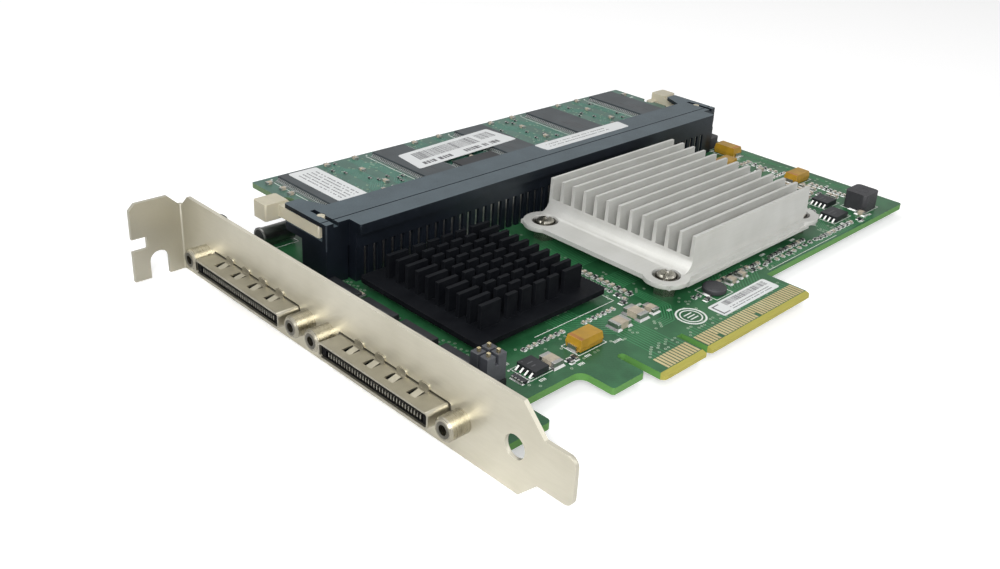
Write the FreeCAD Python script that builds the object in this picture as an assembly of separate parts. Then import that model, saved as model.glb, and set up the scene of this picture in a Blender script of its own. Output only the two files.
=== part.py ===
"""A full-height PCI Express storage controller card, lying flat with its component side up.

Working axes, in millimetres: X runs along the card from the outer face of the mounting bracket
to the far end, Y from the tips of the edge fingers to the top edge, Z up from the component side
of the circuit board.  The finished parts are moved so that the origin is at the centre of the
lowest face of the whole card's box.
"""
import FreeCAD, Part
import math
import os

V = FreeCAD.Vector
os.makedirs("parts", exist_ok=True)

# ---------------------------------------------------------------- driving dimensions
RUNNING = 0.15              # clearance of a sliding or plugged fit, each side
WINDOW_GAP = 0.3            # free gap round a shell in its sheet-metal window

# circuit board
BOARD_T = 1.57
BOARD_GAP = 0.44            # bracket's inner face to the board's near edge
BOARD_PAST_SOCKET = 10.55    # far edge beyond the memory socket
BOARD_FRONT_Y = 12.0
BOARD_BACK_Y = 101.6
LEG_X = 15.4                # leg beside the bracket
LEG_Y = 4.2
HOOK_X0 = 31.9              # hold-down hook in front of the fingers
HOOK_X1 = 41.2
HOOK_Y = 3.6
SLOT_END_Y = 11.2
CORNER_R = 1.0

# edge fingers
FINGER_X0 = 43.3
FIRST_PAD_EDGE = 45.45      # where the first group's 11.65 mm module starts
GROUP_1 = 11
GROUP_2 = 38
PAD_PITCH = 1.0
PAD_W = 0.7
PAD_MARGIN = 0.475          # end of a group to its first pad
PAD_T = 0.05
PAD_Y0 = 1.45
PAD_Y1 = 5.4
SHORT_PAD_Y0 = 2.9
KEY_W = 1.9
KEY_Y = 8.0
BEVEL_Y = 1.3
BEVEL_Z = 0.42

# mounting bracket
SHEET_T = 0.86
SHEET_W = 18.42
SHEET_LOW_Z = -3.9
BRACKET_LEN = 120.02
TAB_OUT_Y = 105.3           # outer face of the bent tab
TAB_DEPTH = 11.9
BEND_R = 0.4
TONGUE_W = 9.3
TONGUE_RISE = 4.1           # tongue's lower edge above the bracket's
TAPER_UP = 11.82            # from the tongue's tip
SCREW_SLOT_W = 4.42
SCREW_SLOT_IN = 5.9         # slot centre from the bracket's outer face
SCREW_SLOT_TOP = 2.2
TAB_NOTCH_Z0 = 3.4
TAB_NOTCH_Z1 = 6.3
TAB_NOTCH_DEEP = 3.4
RELIEF = 2.6
TAB_CHAMFER = 1.4
TONGUE_CORNER = 1.8
WINDOW_CORNER = 0.6
SIGHT_HOLE_D = 4.7
SIGHT_HOLE_UP = 13.22       # from the tongue's tip
SIGHT_HOLE_Z = 4.9

# the two external cable ports
PORT_YS = (30.2, 75.0)
PORT_PINS = 34              # contacts in each of two rows
PORT_PITCH = 0.8
PORT_OUT = 4.9              # how far a shell stands out of the bracket
PORT_HALF_Y = 15.8
PORT_Z0 = 1.7
PORT_Z1 = 5.1
SHELL_T = 0.4
PORT_RECESS = 0.5           # insulator behind the shell's lip
MOUTH_Z0 = 2.35             # slot that takes the plug, between the two rows
MOUTH_Z1 = 3.75
CONTACT_T = 0.35
PORT_BODY_X = 9.6           # back of the body behind the bracket
PORT_BODY_Z = 6.4
PORT_BODY_HALF_Y = 17.6
PORT_EAR_X = 3.0            # thin ears that the jack posts clamp
PORT_EAR_HALF_Y = 21.0
SPRING_PITCH = 6.2
SPRING_N = 4
SPRING_L = 2.4
SPRING_W = 1.5
SPRING_CUT = 0.5
SPRING_DIP = 0.55           # free end of a contact spring below the shell's face
JACK_HALF = 19.05
JACK_D = 4.7
JACK_OUT = 4.4
JACK_SHANK_D = 2.8
JACK_BORE_D = 2.0
JACK_BORE_BOTTOM = 0.6      # bore ends this far in front of the bracket
GROUND_TAB_W = 2.6
GROUND_TAB_H = 1.3
GROUND_TAB_T = 0.35
GROUND_TAB_CORNER = 0.6

# memory module and its right-angle socket
MODULE_L = 133.35
MODULE_H = 31.75
MODULE_T = 1.27
MODULE_TOP_Z = 11.6
MODULE_FRONT_Y = 75.0       # plugged edge
MODULE_NOTCH_Y = 17.8       # side notches from the plugged edge
MODULE_NOTCH_R = 2.0
MODULE_KEY_X = 64.77        # key slot from the module's left end
MODULE_KEY_W = 2.5
MODULE_KEY_Y = 3.8
SOCKET_FRONT_Y = 67.0
SOCKET_MOUTH_Y = 80.3
SOCKET_TOP_Z = 14.3
SOCKET_BODY_Z0 = 8.2        # underside of the horizontal housing
SOCKET_WALL_Y0 = 68.8       # comb wall that guides the tails
SOCKET_WALL_Y1 = 73.6
SOCKET_LEFT_X = 14.9        # clear of the ports behind the bracket
SOCKET_STEP = 6.1           # comb wall and front strip, in from the arms' outer faces
RIB_PITCH = 2.54
RIB_W = 1.3
RIB_D = 0.7
SOCKET_OVER = 4.425         # arms beyond the module's ends
ARM_FRONT_Y = 71.0
ARM_BACK_Y = 86.6
ARM_IN = 3.9                # arm width at its back end
END_POST_IN = 5.6           # end posts that carry the arms, in from the socket's end
END_POST_Y1 = 80.0
SEAM_STEP = 0.25

# ejector levers
LEVER_Z0 = 10.3
LEVER_T = 2.8
LEVER_W = 2.4
LEVER_PIVOT_Y = 76.4
LEVER_PIVOT_IN = 2.6        # pivot from the socket's end
LEVER_PIN_D = 1.8
LEVER_TAIL = 2.6            # lever in front of its pivot
LEVER_ROOM_Y0 = 72.4
PIN_SLOT_W = 1.2            # slot that lets the pivot pin snap in
PIN_SLOT_BACK = 3.2         # slot's end behind the pivot
LEVER_HEAD_Y0 = 88.9
LEVER_HEAD_Y1 = 93.8
LEVER_HEAD_OUT = 3.3        # finger tab beyond the socket's end
LEVER_HEAD_T = 4.0
LEVER_BOSS_D = 3.4
HINGE_GAP = 0.08            # radial, pivot pin in the socket's fork

# memory chips
CHIP_N = 5
CHIP_END_GAP = 5.595        # module's end to the first chip
CHIP_W = 10.16
CHIP_L = 22.22
CHIP_H = 1.0
CHIP_STANDOFF = 0.1
CHIP_DRAFT = 0.12
CHIP_Y0 = 82.2
CHIP_LEADS = 17
CHIP_LEAD_PITCH = 1.27
CHIP_LEAD_W = 0.5
CHIP_LEAD_OUT = 0.8
LEAD_T = 0.15

# pin heat sink on the bus controller
PIN_SINK_X = 38.5
PIN_SINK_Y = 46.8
PIN_SINK_BASE = 38.0
PIN_SINK_BASE_T = 1.2
PIN_SINK_CHAMFER = 1.2
PIN_BLOCK_Y = 29.8
PIN_ROWS = 10
PIN_NARROW = 4              # narrow pins between the two wide ones of a row
PIN_WIDE_X = 5.45
PIN_NARROW_X = 2.85
PIN_GAP = 1.25
PIN_GAP_WIDE = 1.85          # beside a wide pin
PIN_Y = 0.95
PIN_H = 5.4
CONTROLLER_W = 31.0
CONTROLLER_H = 1.6

# fin heat sink on the processor
FIN_SINK_X0 = 76.6
FIN_SINK_L = 49.2
FIN_Y0 = 19.3
FIN_N = 13
FIN_PITCH = 3.62
FIN_TOP_T = 0.8
FIN_ROOT_T = 1.3
FIN_TOP_Z = 13.0
FIN_BASE_TOP_Z = 4.5
FIN_BASE_T = 1.9
FIN_FOOT_R = 3.2            # curved foot of the fins' ends
SCREW_XS = (70.9, 126.4)
SCREW_YS = (21.9, 59.4)
EAR_R = 5.4
EAR_INSET = 4.2             # ear centre to the plate's straight edges
COUNTERBORE_D = 6.6
SCREW_HEAD_D = 4.4
SCREW_HEAD_H = 2.6
SCREW_RISE = 0.4            # head above the plate
SCREW_SHANK_D = 2.2
SCREW_NUT_D = 4.6
SCREW_NUT_H = 1.2
STEP_H = 0.8                # ledge under the plate
STEP_IN = 0.6
PROCESSOR_W = 37.5
PAD_LAYER = 0.3             # heat-conducting pad under each heat sink

SOLDER_H = 0.9
SOLDER_W = 1.1
SOLDER_TIP = 0.3

# ---------------------------------------------------------------- values that follow
finger_key_x0 = FIRST_PAD_EDGE + 2 * PAD_MARGIN + (GROUP_1 - 1) * PAD_PITCH + PAD_W
finger_key_x1 = finger_key_x0 + KEY_W
finger_x1 = finger_key_x1 + 2 * PAD_MARGIN + (GROUP_2 - 1) * PAD_PITCH + PAD_W
board_near_x = SHEET_T + BOARD_GAP
sheet_high_z = SHEET_LOW_Z + SHEET_W
bracket_end_y = TAB_OUT_Y - BRACKET_LEN
socket_half_x = MODULE_L / 2 + SOCKET_OVER
comb_half_x = socket_half_x - SOCKET_STEP
module_mid_x = SOCKET_LEFT_X + socket_half_x
module_x0 = module_mid_x - MODULE_L / 2
module_x1 = module_mid_x + MODULE_L / 2
board_far_x = SOCKET_LEFT_X + 2 * socket_half_x + BOARD_PAST_SOCKET
chip_pitch = (MODULE_L - 2 * CHIP_END_GAP - CHIP_W) / (CHIP_N - 1)
module_low_z = MODULE_TOP_Z - MODULE_T
module_back_y = MODULE_FRONT_Y + MODULE_H
jack_z = (PORT_Z0 + PORT_Z1) / 2


# ---------------------------------------------------------------- shape helpers
def box(x0, x1, y0, y1, z0, z1):
    return Part.makeBox(x1 - x0, y1 - y0, z1 - z0, V(x0, y0, z0))


def on_xy(z):
    return lambda a, b: V(a, b, z)


def on_yz(x):
    return lambda a, b: V(x, a, b)


def on_xz(y):
    return lambda a, b: V(a, y, b)


def corner_arc(before, corner, after, radius):
    """Start, middle and end of the arc that rounds one corner."""
    to_before = (before - corner).normalize()
    to_after = (after - corner).normalize()
    half = to_before.getAngle(to_after) / 2
    reach = radius / math.tan(half)
    middle_way = (to_before + to_after).normalize()
    centre = corner + middle_way * (radius / math.sin(half))
    return corner + to_before * reach, centre - middle_way * radius, corner + to_after * reach


def wire(corners, place):
    """Closed wire through corners (a, b) or (a, b, radius)."""
    points = [place(c[0], c[1]) for c in corners]
    radii = [c[2] if len(c) > 2 else 0.0 for c in corners]
    edges = []
    ends = []
    for i, point in enumerate(points):
        if radii[i] > 0:
            start, middle, end = corner_arc(points[i - 1], point, points[(i + 1) % len(points)], radii[i])
            edges.append(Part.Arc(start, middle, end).toShape())
            ends.append((start, end))
        else:
            ends.append((point, point))
    for i, (start, end) in enumerate(ends):
        following = ends[(i + 1) % len(ends)][0]
        if (following - end).Length > 1e-6:
            edges.append(Part.makeLine(end, following))
    return Part.Wire(Part.__sortEdges__(edges))


def prism_z(corners, z0, z1):
    return Part.Face(wire(corners, on_xy(z0))).extrude(V(0, 0, z1 - z0))


def prism_x(corners, x0, x1):
    """Outline in Y and Z, run along X."""
    return Part.Face(wire(corners, on_yz(x0))).extrude(V(x1 - x0, 0, 0))


def prism_y(corners, y0, y1):
    """Outline in X and Z, run along Y."""
    return Part.Face(wire(corners, on_xz(y0))).extrude(V(0, y1 - y0, 0))


def post_z(x, y, z0, z1, diameter):
    return Part.makeCylinder(diameter / 2, z1 - z0, V(x, y, z0))


def hexagon_z(x, y, z0, z1, across_flats):
    radius = across_flats / 2 / math.cos(math.pi / 6)
    angles = [math.radians(60 * i + 30) for i in range(6)]
    return prism_z([(x + radius * math.cos(a), y + radius * math.sin(a)) for a in angles], z0, z1)


def post_x(y, z, x0, x1, diameter):
    return Part.makeCylinder(diameter / 2, x1 - x0, V(x0, y, z), V(1, 0, 0))


def mirrored(shape, x):
    return shape.mirror(V(x, 0, 0), V(1, 0, 0))


def joined(shapes):
    return shapes[0].multiFuse(shapes[1:]).removeSplitter()


def rounded_rectangle(x0, x1, y0, y1, radius):
    return [(x0, y0, radius), (x1, y0, radius), (x1, y1, radius), (x0, y1, radius)]


# ---------------------------------------------------------------- circuit board
def pad_edges():
    """Left edges of the pads of both groups, from the bracket outwards."""
    first = [FIRST_PAD_EDGE + PAD_MARGIN + i * PAD_PITCH for i in range(GROUP_1)]
    second = [finger_key_x1 + PAD_MARGIN + i * PAD_PITCH for i in range(GROUP_2)]
    return first + second


def circuit_board():
    slot_r = (FINGER_X0 - HOOK_X1) / 2 * 0.98
    outline = [
        (board_near_x, LEG_Y, CORNER_R), (LEG_X, LEG_Y, CORNER_R), (LEG_X, BOARD_FRONT_Y, CORNER_R),
        (HOOK_X0, BOARD_FRONT_Y, 2.2), (HOOK_X0, HOOK_Y, 0.6), (HOOK_X1, HOOK_Y, 0.6),
        (HOOK_X1, SLOT_END_Y, slot_r), (FINGER_X0, SLOT_END_Y, slot_r), (FINGER_X0, 0, 0.8),
        (finger_key_x0, 0, 0.3), (finger_key_x0, KEY_Y), (finger_key_x1, KEY_Y),
        (finger_key_x1, 0, 0.3), (finger_x1, 0, 0.8), (finger_x1, BOARD_FRONT_Y, 0.5),
        (board_far_x, BOARD_FRONT_Y, CORNER_R), (board_far_x, BOARD_BACK_Y, CORNER_R),
        (board_near_x, BOARD_BACK_Y, CORNER_R)]
    board = prism_z(outline, -BOARD_T, 0)
    reach = 1.0
    bevel_low = -BEVEL_Z * (1 + reach / BEVEL_Y)
    upper_bevel = [(-reach, bevel_low), (BEVEL_Y, 0), (BEVEL_Y, reach), (-reach, reach)]
    lower_bevel = [(y, -BOARD_T - z) for y, z in upper_bevel]
    tools = [prism_x(upper_bevel, FINGER_X0 - reach, finger_x1 + reach),
             prism_x(lower_bevel, FINGER_X0 - reach, finger_x1 + reach)]
    for x in SCREW_XS:
        for y in SCREW_YS:
            tools.append(post_z(x, y, -BOARD_T - 1, 1, SCREW_SHANK_D + 2 * RUNNING))
    return board.cut(tools)


def edge_contacts(z0, z1, short):
    pads = []
    for i, x in enumerate(pad_edges()):
        y0 = SHORT_PAD_Y0 if i in short else PAD_Y0
        pads.append(box(x, x + PAD_W, y0, PAD_Y1, z0, z1))
    return Part.Compound(pads)


# ---------------------------------------------------------------- mounting bracket
def mounting_bracket():
    bend_y = TAB_OUT_Y - SHEET_T - BEND_R
    end_y = bracket_end_y
    taper_y = end_y + TAPER_UP
    outer_r = BEND_R + SHEET_T
    sheet = prism_z([(0, end_y), (SHEET_T, end_y), (SHEET_T, TAB_OUT_Y, outer_r), (-TAB_DEPTH, TAB_OUT_Y),
                     (-TAB_DEPTH, TAB_OUT_Y - SHEET_T), (0, TAB_OUT_Y - SHEET_T, BEND_R)],
                    SHEET_LOW_Z, sheet_high_z)
    low = SHEET_LOW_Z
    high = sheet_high_z
    tongue_low = low + TONGUE_RISE
    tongue_high = tongue_low + TONGUE_W
    over = 1.0
    upper_taper = [(taper_y, high), (taper_y - (high - tongue_high), tongue_high),
                   (end_y - over, tongue_high), (end_y - over, high + over), (taper_y, high + over)]
    lower_taper = [(taper_y, low), (taper_y - TONGUE_RISE, tongue_low), (end_y - over, tongue_low),
                   (end_y - over, low - over), (taper_y, low - over)]
    relief_plate = [(bend_y - RELIEF, high), (bend_y, high - RELIEF), (TAB_OUT_Y + over, high - RELIEF),
                    (TAB_OUT_Y + over, high + over), (bend_y - RELIEF, high + over)]
    cuts = [prism_x(upper_taper, -over, SHEET_T + over), prism_x(lower_taper, -over, SHEET_T + over),
            prism_x(relief_plate, -BEND_R, SHEET_T + over)]
    relief_tab = [(-BEND_R - RELIEF, high), (-BEND_R, high - RELIEF), (SHEET_T + over, high - RELIEF),
                  (SHEET_T + over, high + over), (-BEND_R - RELIEF, high + over)]
    cut_x = -TAB_DEPTH + TAB_CHAMFER
    chamfer = [(-TAB_DEPTH, high - TAB_CHAMFER), (cut_x, high), (cut_x, high + over),
               (-TAB_DEPTH - over, high + over), (-TAB_DEPTH - over, high - TAB_CHAMFER)]
    tab_y0 = TAB_OUT_Y - SHEET_T - over
    tab_y1 = TAB_OUT_Y + over
    cuts.append(prism_y(relief_tab, bend_y, tab_y1))
    cuts.append(prism_y(chamfer, tab_y0, tab_y1))
    notch_x = -TAB_DEPTH + TAB_NOTCH_DEEP
    cuts.append(box(-TAB_DEPTH - over, notch_x, tab_y0, tab_y1, TAB_NOTCH_Z0, TAB_NOTCH_Z1))
    slot_r = SCREW_SLOT_W / 2
    screw_slot = [(-SCREW_SLOT_IN - slot_r, low - over), (-SCREW_SLOT_IN + slot_r, low - over),
                  (-SCREW_SLOT_IN + slot_r, SCREW_SLOT_TOP, slot_r * 0.98),
                  (-SCREW_SLOT_IN - slot_r, SCREW_SLOT_TOP, slot_r * 0.98)]
    cuts.append(prism_y(screw_slot, tab_y0, tab_y1))
    cuts.append(post_x(end_y + SIGHT_HOLE_UP, SIGHT_HOLE_Z, -over, SHEET_T + over, SIGHT_HOLE_D))
    for mid_y in PORT_YS:
        half = PORT_HALF_Y + WINDOW_GAP
        window = rounded_rectangle(mid_y - half, mid_y + half, PORT_Z0 - WINDOW_GAP, PORT_Z1 + WINDOW_GAP,
                                   WINDOW_CORNER)
        cuts.append(prism_x(window, -over, SHEET_T + over))
        for side in (-1, 1):
            jack_y = mid_y + side * JACK_HALF
            cuts.append(post_x(jack_y, jack_z, -over, SHEET_T + over, JACK_SHANK_D + 2 * RUNNING))
    bracket = sheet.cut(cuts)
    end_edges = [e for e in bracket.Edges if e.BoundBox.YMax < end_y + 0.01]
    tip_edges = [e for e in end_edges if e.BoundBox.XLength > SHEET_T / 2]
    return bracket.makeFillet(TONGUE_CORNER, tip_edges)


# ---------------------------------------------------------------- external cable ports
def port_shell(mid_y):
    back_x = PORT_BODY_X - 2.0
    y0 = mid_y - PORT_HALF_Y
    y1 = mid_y + PORT_HALF_Y
    tube = prism_x(rounded_rectangle(y0, y1, PORT_Z0, PORT_Z1, 0.8), -PORT_OUT, back_x)
    hollow = prism_x(rounded_rectangle(y0 + SHELL_T, y1 - SHELL_T, PORT_Z0 + SHELL_T, PORT_Z1 - SHELL_T, 0.4),
                     -PORT_OUT - 1, back_x + 1)
    cuts = [hollow]
    extras = []
    root_x = -PORT_OUT + 1.6 + SPRING_L
    for i in range(SPRING_N):
        spring_y = mid_y + (i - (SPRING_N - 1) / 2) * SPRING_PITCH
        half = SPRING_W / 2 + SPRING_CUT
        cuts.append(box(root_x - SPRING_L, root_x, spring_y - half, spring_y + half,
                        PORT_Z1 - SHELL_T - 0.1, PORT_Z1 + 0.1))
        tongue = prism_y([(root_x, PORT_Z1), (root_x, PORT_Z1 - SHELL_T),
                          (root_x - SPRING_L + 0.15, PORT_Z1 - SHELL_T - SPRING_DIP),
                          (root_x - SPRING_L + 0.15, PORT_Z1 - SPRING_DIP)],
                         spring_y - SPRING_W / 2, spring_y + SPRING_W / 2)
        tab_y0 = spring_y - GROUND_TAB_W / 2
        tab_y1 = spring_y + GROUND_TAB_W / 2
        tab = prism_x([(tab_y0, PORT_Z1 - SHELL_T), (tab_y1, PORT_Z1 - SHELL_T),
                       (tab_y1, PORT_Z1 + GROUND_TAB_H, GROUND_TAB_CORNER),
                       (tab_y0, PORT_Z1 + GROUND_TAB_H, GROUND_TAB_CORNER)], -GROUND_TAB_T, 0)
        extras += [tongue, tab]
    return joined([tube.cut(cuts)] + extras)


def port_insulator(mid_y):
    """Black body behind the bracket, with the mouth's core inside the shell."""
    gap = SHELL_T
    core_top = PORT_Z1 - gap - SPRING_DIP - RUNNING
    core_y0 = mid_y - PORT_HALF_Y + gap
    core_y1 = mid_y + PORT_HALF_Y - gap
    core = prism_x([(core_y0, PORT_Z0 + gap, 0.4), (core_y1, PORT_Z0 + gap, 0.4), (core_y1, core_top),
                    (core_y0, core_top)], -PORT_OUT + PORT_RECESS, PORT_BODY_X - 2.0)
    row_half = (PORT_PINS - 1) / 2 * PORT_PITCH + 0.8
    slot = box(-PORT_OUT, 2.0, mid_y - row_half, mid_y + row_half, MOUTH_Z0, MOUTH_Z1)
    block = box(SHEET_T, PORT_BODY_X, mid_y - PORT_BODY_HALF_Y, mid_y + PORT_BODY_HALF_Y, 0, PORT_BODY_Z)
    ears = box(SHEET_T, PORT_EAR_X, mid_y - PORT_EAR_HALF_Y, mid_y + PORT_EAR_HALF_Y, 0, PORT_BODY_Z)
    shell_room = prism_x(rounded_rectangle(mid_y - PORT_HALF_Y, mid_y + PORT_HALF_Y, PORT_Z0, PORT_Z1, 0.8),
                         SHEET_T - 1, PORT_BODY_X - 2.0)
    cuts = [shell_room]
    for side in (-1, 1):
        cuts.append(post_x(mid_y + side * JACK_HALF, jack_z, SHEET_T - 1, PORT_EAR_X + 1, JACK_SHANK_D))
    return joined([block.fuse(ears).cut(cuts), core.cut(slot)])


def port_contacts(mid_y):
    strips = []
    for i in range(PORT_PINS):
        y = mid_y + (i - (PORT_PINS - 1) / 2) * PORT_PITCH
        for low in (MOUTH_Z0, MOUTH_Z1 - CONTACT_T):
            strips.append(box(-PORT_OUT + PORT_RECESS + 0.15, 2.0, y - 0.19, y + 0.19, low, low + CONTACT_T))
    return Part.Compound(strips)


def jack_posts():
    posts = []
    for mid_y in PORT_YS:
        for side in (-1, 1):
            y = mid_y + side * JACK_HALF
            head = post_x(y, jack_z, -JACK_OUT, 0, JACK_D)
            rim = max(head.Edges, key=lambda e: (-e.BoundBox.XMax, e.Length))
            head = head.makeChamfer(0.4, [rim])
            shank = post_x(y, jack_z, 0, PORT_EAR_X, JACK_SHANK_D)
            bore = post_x(y, jack_z, -JACK_OUT - 1, -JACK_BORE_BOTTOM, JACK_BORE_D)
            posts.append(head.fuse(shank).cut(bore))
    return Part.Compound(posts)


# ---------------------------------------------------------------- memory socket
def comb_outline():
    """Front wall seen from above: a back edge and a toothed front edge."""
    x0 = module_mid_x - comb_half_x
    x1 = module_mid_x + comb_half_x
    points = [(x0, SOCKET_WALL_Y1), (x0, SOCKET_WALL_Y0)]
    count = int((x1 - x0 - RIB_W) / RIB_PITCH)
    start = module_mid_x - (count - 1) / 2 * RIB_PITCH
    for i in range(count):
        groove = start + i * RIB_PITCH - (RIB_PITCH - RIB_W) / 2
        points.append((groove, SOCKET_WALL_Y0))
        points.append((groove, SOCKET_WALL_Y0 + RIB_D))
        points.append((groove + RIB_PITCH - RIB_W, SOCKET_WALL_Y0 + RIB_D))
        points.append((groove + RIB_PITCH - RIB_W, SOCKET_WALL_Y0))
    points.append((x1, SOCKET_WALL_Y0))
    points.append((x1, SOCKET_WALL_Y1))
    return points


def groove_centres():
    count = int((2 * comb_half_x - RIB_W) / RIB_PITCH)
    start = module_mid_x - (count - 1) / 2 * RIB_PITCH
    return [start + i * RIB_PITCH for i in range(count)]


def memory_socket():
    half = socket_half_x
    left = module_mid_x - half
    right = module_mid_x + half
    step_x = SOCKET_STEP
    strip_y = SOCKET_WALL_Y1 - 0.6
    housing = prism_z([(left, ARM_FRONT_Y, 0.4), (left + step_x, ARM_FRONT_Y),
                       (left + step_x, SOCKET_FRONT_Y, 0.4), (right - step_x, SOCKET_FRONT_Y, 0.4),
                       (right - step_x, ARM_FRONT_Y), (right, ARM_FRONT_Y, 0.4),
                       (right, ARM_BACK_Y, 0.6), (right - ARM_IN, ARM_BACK_Y, 0.6),
                       (right - step_x - 0.6, SOCKET_MOUTH_Y), (left + step_x + 0.6, SOCKET_MOUTH_Y),
                       (left + ARM_IN, ARM_BACK_Y, 0.6), (left, ARM_BACK_Y, 0.6)],
                      SOCKET_BODY_Z0, SOCKET_TOP_Z)
    wall = prism_z(comb_outline(), 0, SOCKET_BODY_Z0 + 1.0)
    end_posts = [box(left, left + END_POST_IN, ARM_FRONT_Y, END_POST_Y1, 0, SOCKET_BODY_Z0),
                 box(right - END_POST_IN, right, ARM_FRONT_Y, END_POST_Y1, 0, SOCKET_BODY_Z0)]
    card_room = box(module_x0 - RUNNING, module_x1 + RUNNING, MODULE_FRONT_Y - RUNNING, ARM_BACK_Y + 1,
                    module_low_z - RUNNING, MODULE_TOP_Z + RUNNING)
    seam = box(left - 1, right + 1, strip_y - 0.3, strip_y, SOCKET_TOP_Z - SEAM_STEP, SOCKET_TOP_Z + 1)
    hood = box(module_mid_x - comb_half_x - 1, module_mid_x + comb_half_x + 1, SOCKET_FRONT_Y - 1,
               SOCKET_WALL_Y0 - 0.3, 0, SOCKET_TOP_Z - 2.4)
    cuts = [card_room, seam, hood]
    for mirror in (False, True):
        lever_room = box(left - 1, module_x0 + 3.0, LEVER_ROOM_Y0, ARM_BACK_Y + 1,
                         LEVER_Z0 - 0.2, LEVER_Z0 + LEVER_T + 0.2)
        pin = post_z(left + LEVER_PIVOT_IN, LEVER_PIVOT_Y, SOCKET_BODY_Z0 - 1, SOCKET_TOP_Z + 1,
                     LEVER_PIN_D + 2 * HINGE_GAP)
        pivot_x = left + LEVER_PIVOT_IN
        slot = box(pivot_x - PIN_SLOT_W / 2, pivot_x + PIN_SLOT_W / 2, ARM_FRONT_Y - 1,
                   LEVER_PIVOT_Y + PIN_SLOT_BACK, SOCKET_TOP_Z - 0.9, SOCKET_TOP_Z + 1)
        for tool in (lever_room, pin, slot):
            cuts.append(mirrored(tool, module_mid_x) if mirror else tool)
    return joined([housing, wall] + end_posts).cut(cuts)


def socket_tails():
    tails = []
    for x in groove_centres():
        tails.append(box(x - 0.25, x + 0.25, SOCKET_WALL_Y0 + RIB_D - 0.3, SOCKET_WALL_Y0 + RIB_D,
                         0, SOCKET_BODY_Z0))
    return Part.Compound(tails)


def ejector_lever():
    """Left lever, hinged in the fork of the socket's end."""
    left = module_mid_x - socket_half_x
    pivot_x = left + LEVER_PIVOT_IN
    arm_x0 = left + 0.1
    arm_x1 = arm_x0 + LEVER_W
    z1 = LEVER_Z0 + LEVER_T
    notch_y = MODULE_FRONT_Y + MODULE_NOTCH_Y
    boss = post_z(pivot_x, LEVER_PIVOT_Y, LEVER_Z0, z1, LEVER_BOSS_D)
    tail_y = LEVER_PIVOT_Y - LEVER_TAIL
    arm = prism_z([(arm_x0, tail_y, 0.4), (arm_x1 + 1.2, tail_y, 0.4),
                   (arm_x1, SOCKET_MOUTH_Y), (arm_x1, LEVER_HEAD_Y1, 0.4), (arm_x0, LEVER_HEAD_Y1, 0.4)],
                  LEVER_Z0, z1)
    head_x0 = left - LEVER_HEAD_OUT
    head = prism_z([(head_x0, LEVER_HEAD_Y0, 0.5), (arm_x1, LEVER_HEAD_Y0), (arm_x1, LEVER_HEAD_Y1, 0.5),
                    (head_x0, LEVER_HEAD_Y1, 0.5)], LEVER_Z0 - 0.6, LEVER_Z0 - 0.6 + LEVER_HEAD_T)
    hook_r = MODULE_NOTCH_R - 0.45
    hook = prism_z([(arm_x1 - 0.5, notch_y - hook_r), (module_x0 + 0.6, notch_y - hook_r, 0.5),
                    (module_x0 + 0.6, notch_y + hook_r * 0.6, 0.5), (arm_x1 - 0.5, notch_y + hook_r * 0.6)],
                   module_low_z + RUNNING, MODULE_TOP_Z)
    pins = post_z(pivot_x, LEVER_PIVOT_Y, SOCKET_BODY_Z0 + 0.2, SOCKET_TOP_Z - 0.1, LEVER_PIN_D)
    return joined([boss, arm, head, hook, pins])


# ---------------------------------------------------------------- memory module
def memory_module_board():
    x0 = module_x0
    x1 = module_x1
    y0 = MODULE_FRONT_Y
    blank = prism_z([(x0, y0, 0.4), (x1, y0, 0.4), (x1, module_back_y, 0.4), (x0, module_back_y, 0.4)],
                    module_low_z, MODULE_TOP_Z)
    cuts = []
    for x in (x0, x1):
        cuts.append(post_z(x, y0 + MODULE_NOTCH_Y, module_low_z - 1, MODULE_TOP_Z + 1, 2 * MODULE_NOTCH_R))
        cuts.append(post_z(x, y0 + 10.0, module_low_z - 1, MODULE_TOP_Z + 1, 2.5))
    key_x0 = x0 + MODULE_KEY_X
    key = prism_z(rounded_rectangle(key_x0, key_x0 + MODULE_KEY_W, y0 - 2, y0 + MODULE_KEY_Y, 1.0),
                  module_low_z - 1, MODULE_TOP_Z + 1)
    return blank.cut(cuts + [key])


def chip_x0(i):
    return module_mid_x - CHIP_W / 2 + (i - (CHIP_N - 1) / 2) * chip_pitch


def memory_chips():
    z0 = MODULE_TOP_Z + CHIP_STANDOFF
    chips = []
    for i in range(CHIP_N):
        x = chip_x0(i)
        x1 = x + CHIP_W
        y1 = CHIP_Y0 + CHIP_L
        d = CHIP_DRAFT
        low = wire([(x, CHIP_Y0), (x1, CHIP_Y0), (x1, y1), (x, y1)], on_xy(z0 + CHIP_H / 2))
        high = wire([(x + d, CHIP_Y0 + d), (x1 - d, CHIP_Y0 + d), (x1 - d, y1 - d), (x + d, y1 - d)],
                    on_xy(z0 + CHIP_H))
        lower = Part.Face(low).extrude(V(0, 0, -CHIP_H / 2))
        chips.append(lower.fuse(Part.makeLoft([low, high], True, True)).removeSplitter())
    return Part.Compound(chips)


def sloped_lead(x, y, side, width, z0, foot_z, reach):
    """A lead that slopes from the body's side down to the board."""
    points = [(x, z0 + LEAD_T), (x, z0), (x + side * reach, foot_z), (x + side * reach, foot_z + LEAD_T)]
    return prism_y(points, y - width / 2, y + width / 2)


def memory_chip_leads():
    z0 = MODULE_TOP_Z + CHIP_STANDOFF + CHIP_H / 2 - LEAD_T / 2
    mid_y = CHIP_Y0 + CHIP_L / 2
    leads = []
    for i in range(CHIP_N):
        for side, x in ((-1, chip_x0(i)), (1, chip_x0(i) + CHIP_W)):
            for k in range(CHIP_LEADS):
                y = mid_y + (k - (CHIP_LEADS - 1) / 2) * CHIP_LEAD_PITCH
                leads.append(sloped_lead(x, y, side, CHIP_LEAD_W, z0, MODULE_TOP_Z, CHIP_LEAD_OUT))
    return Part.Compound(leads)


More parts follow.
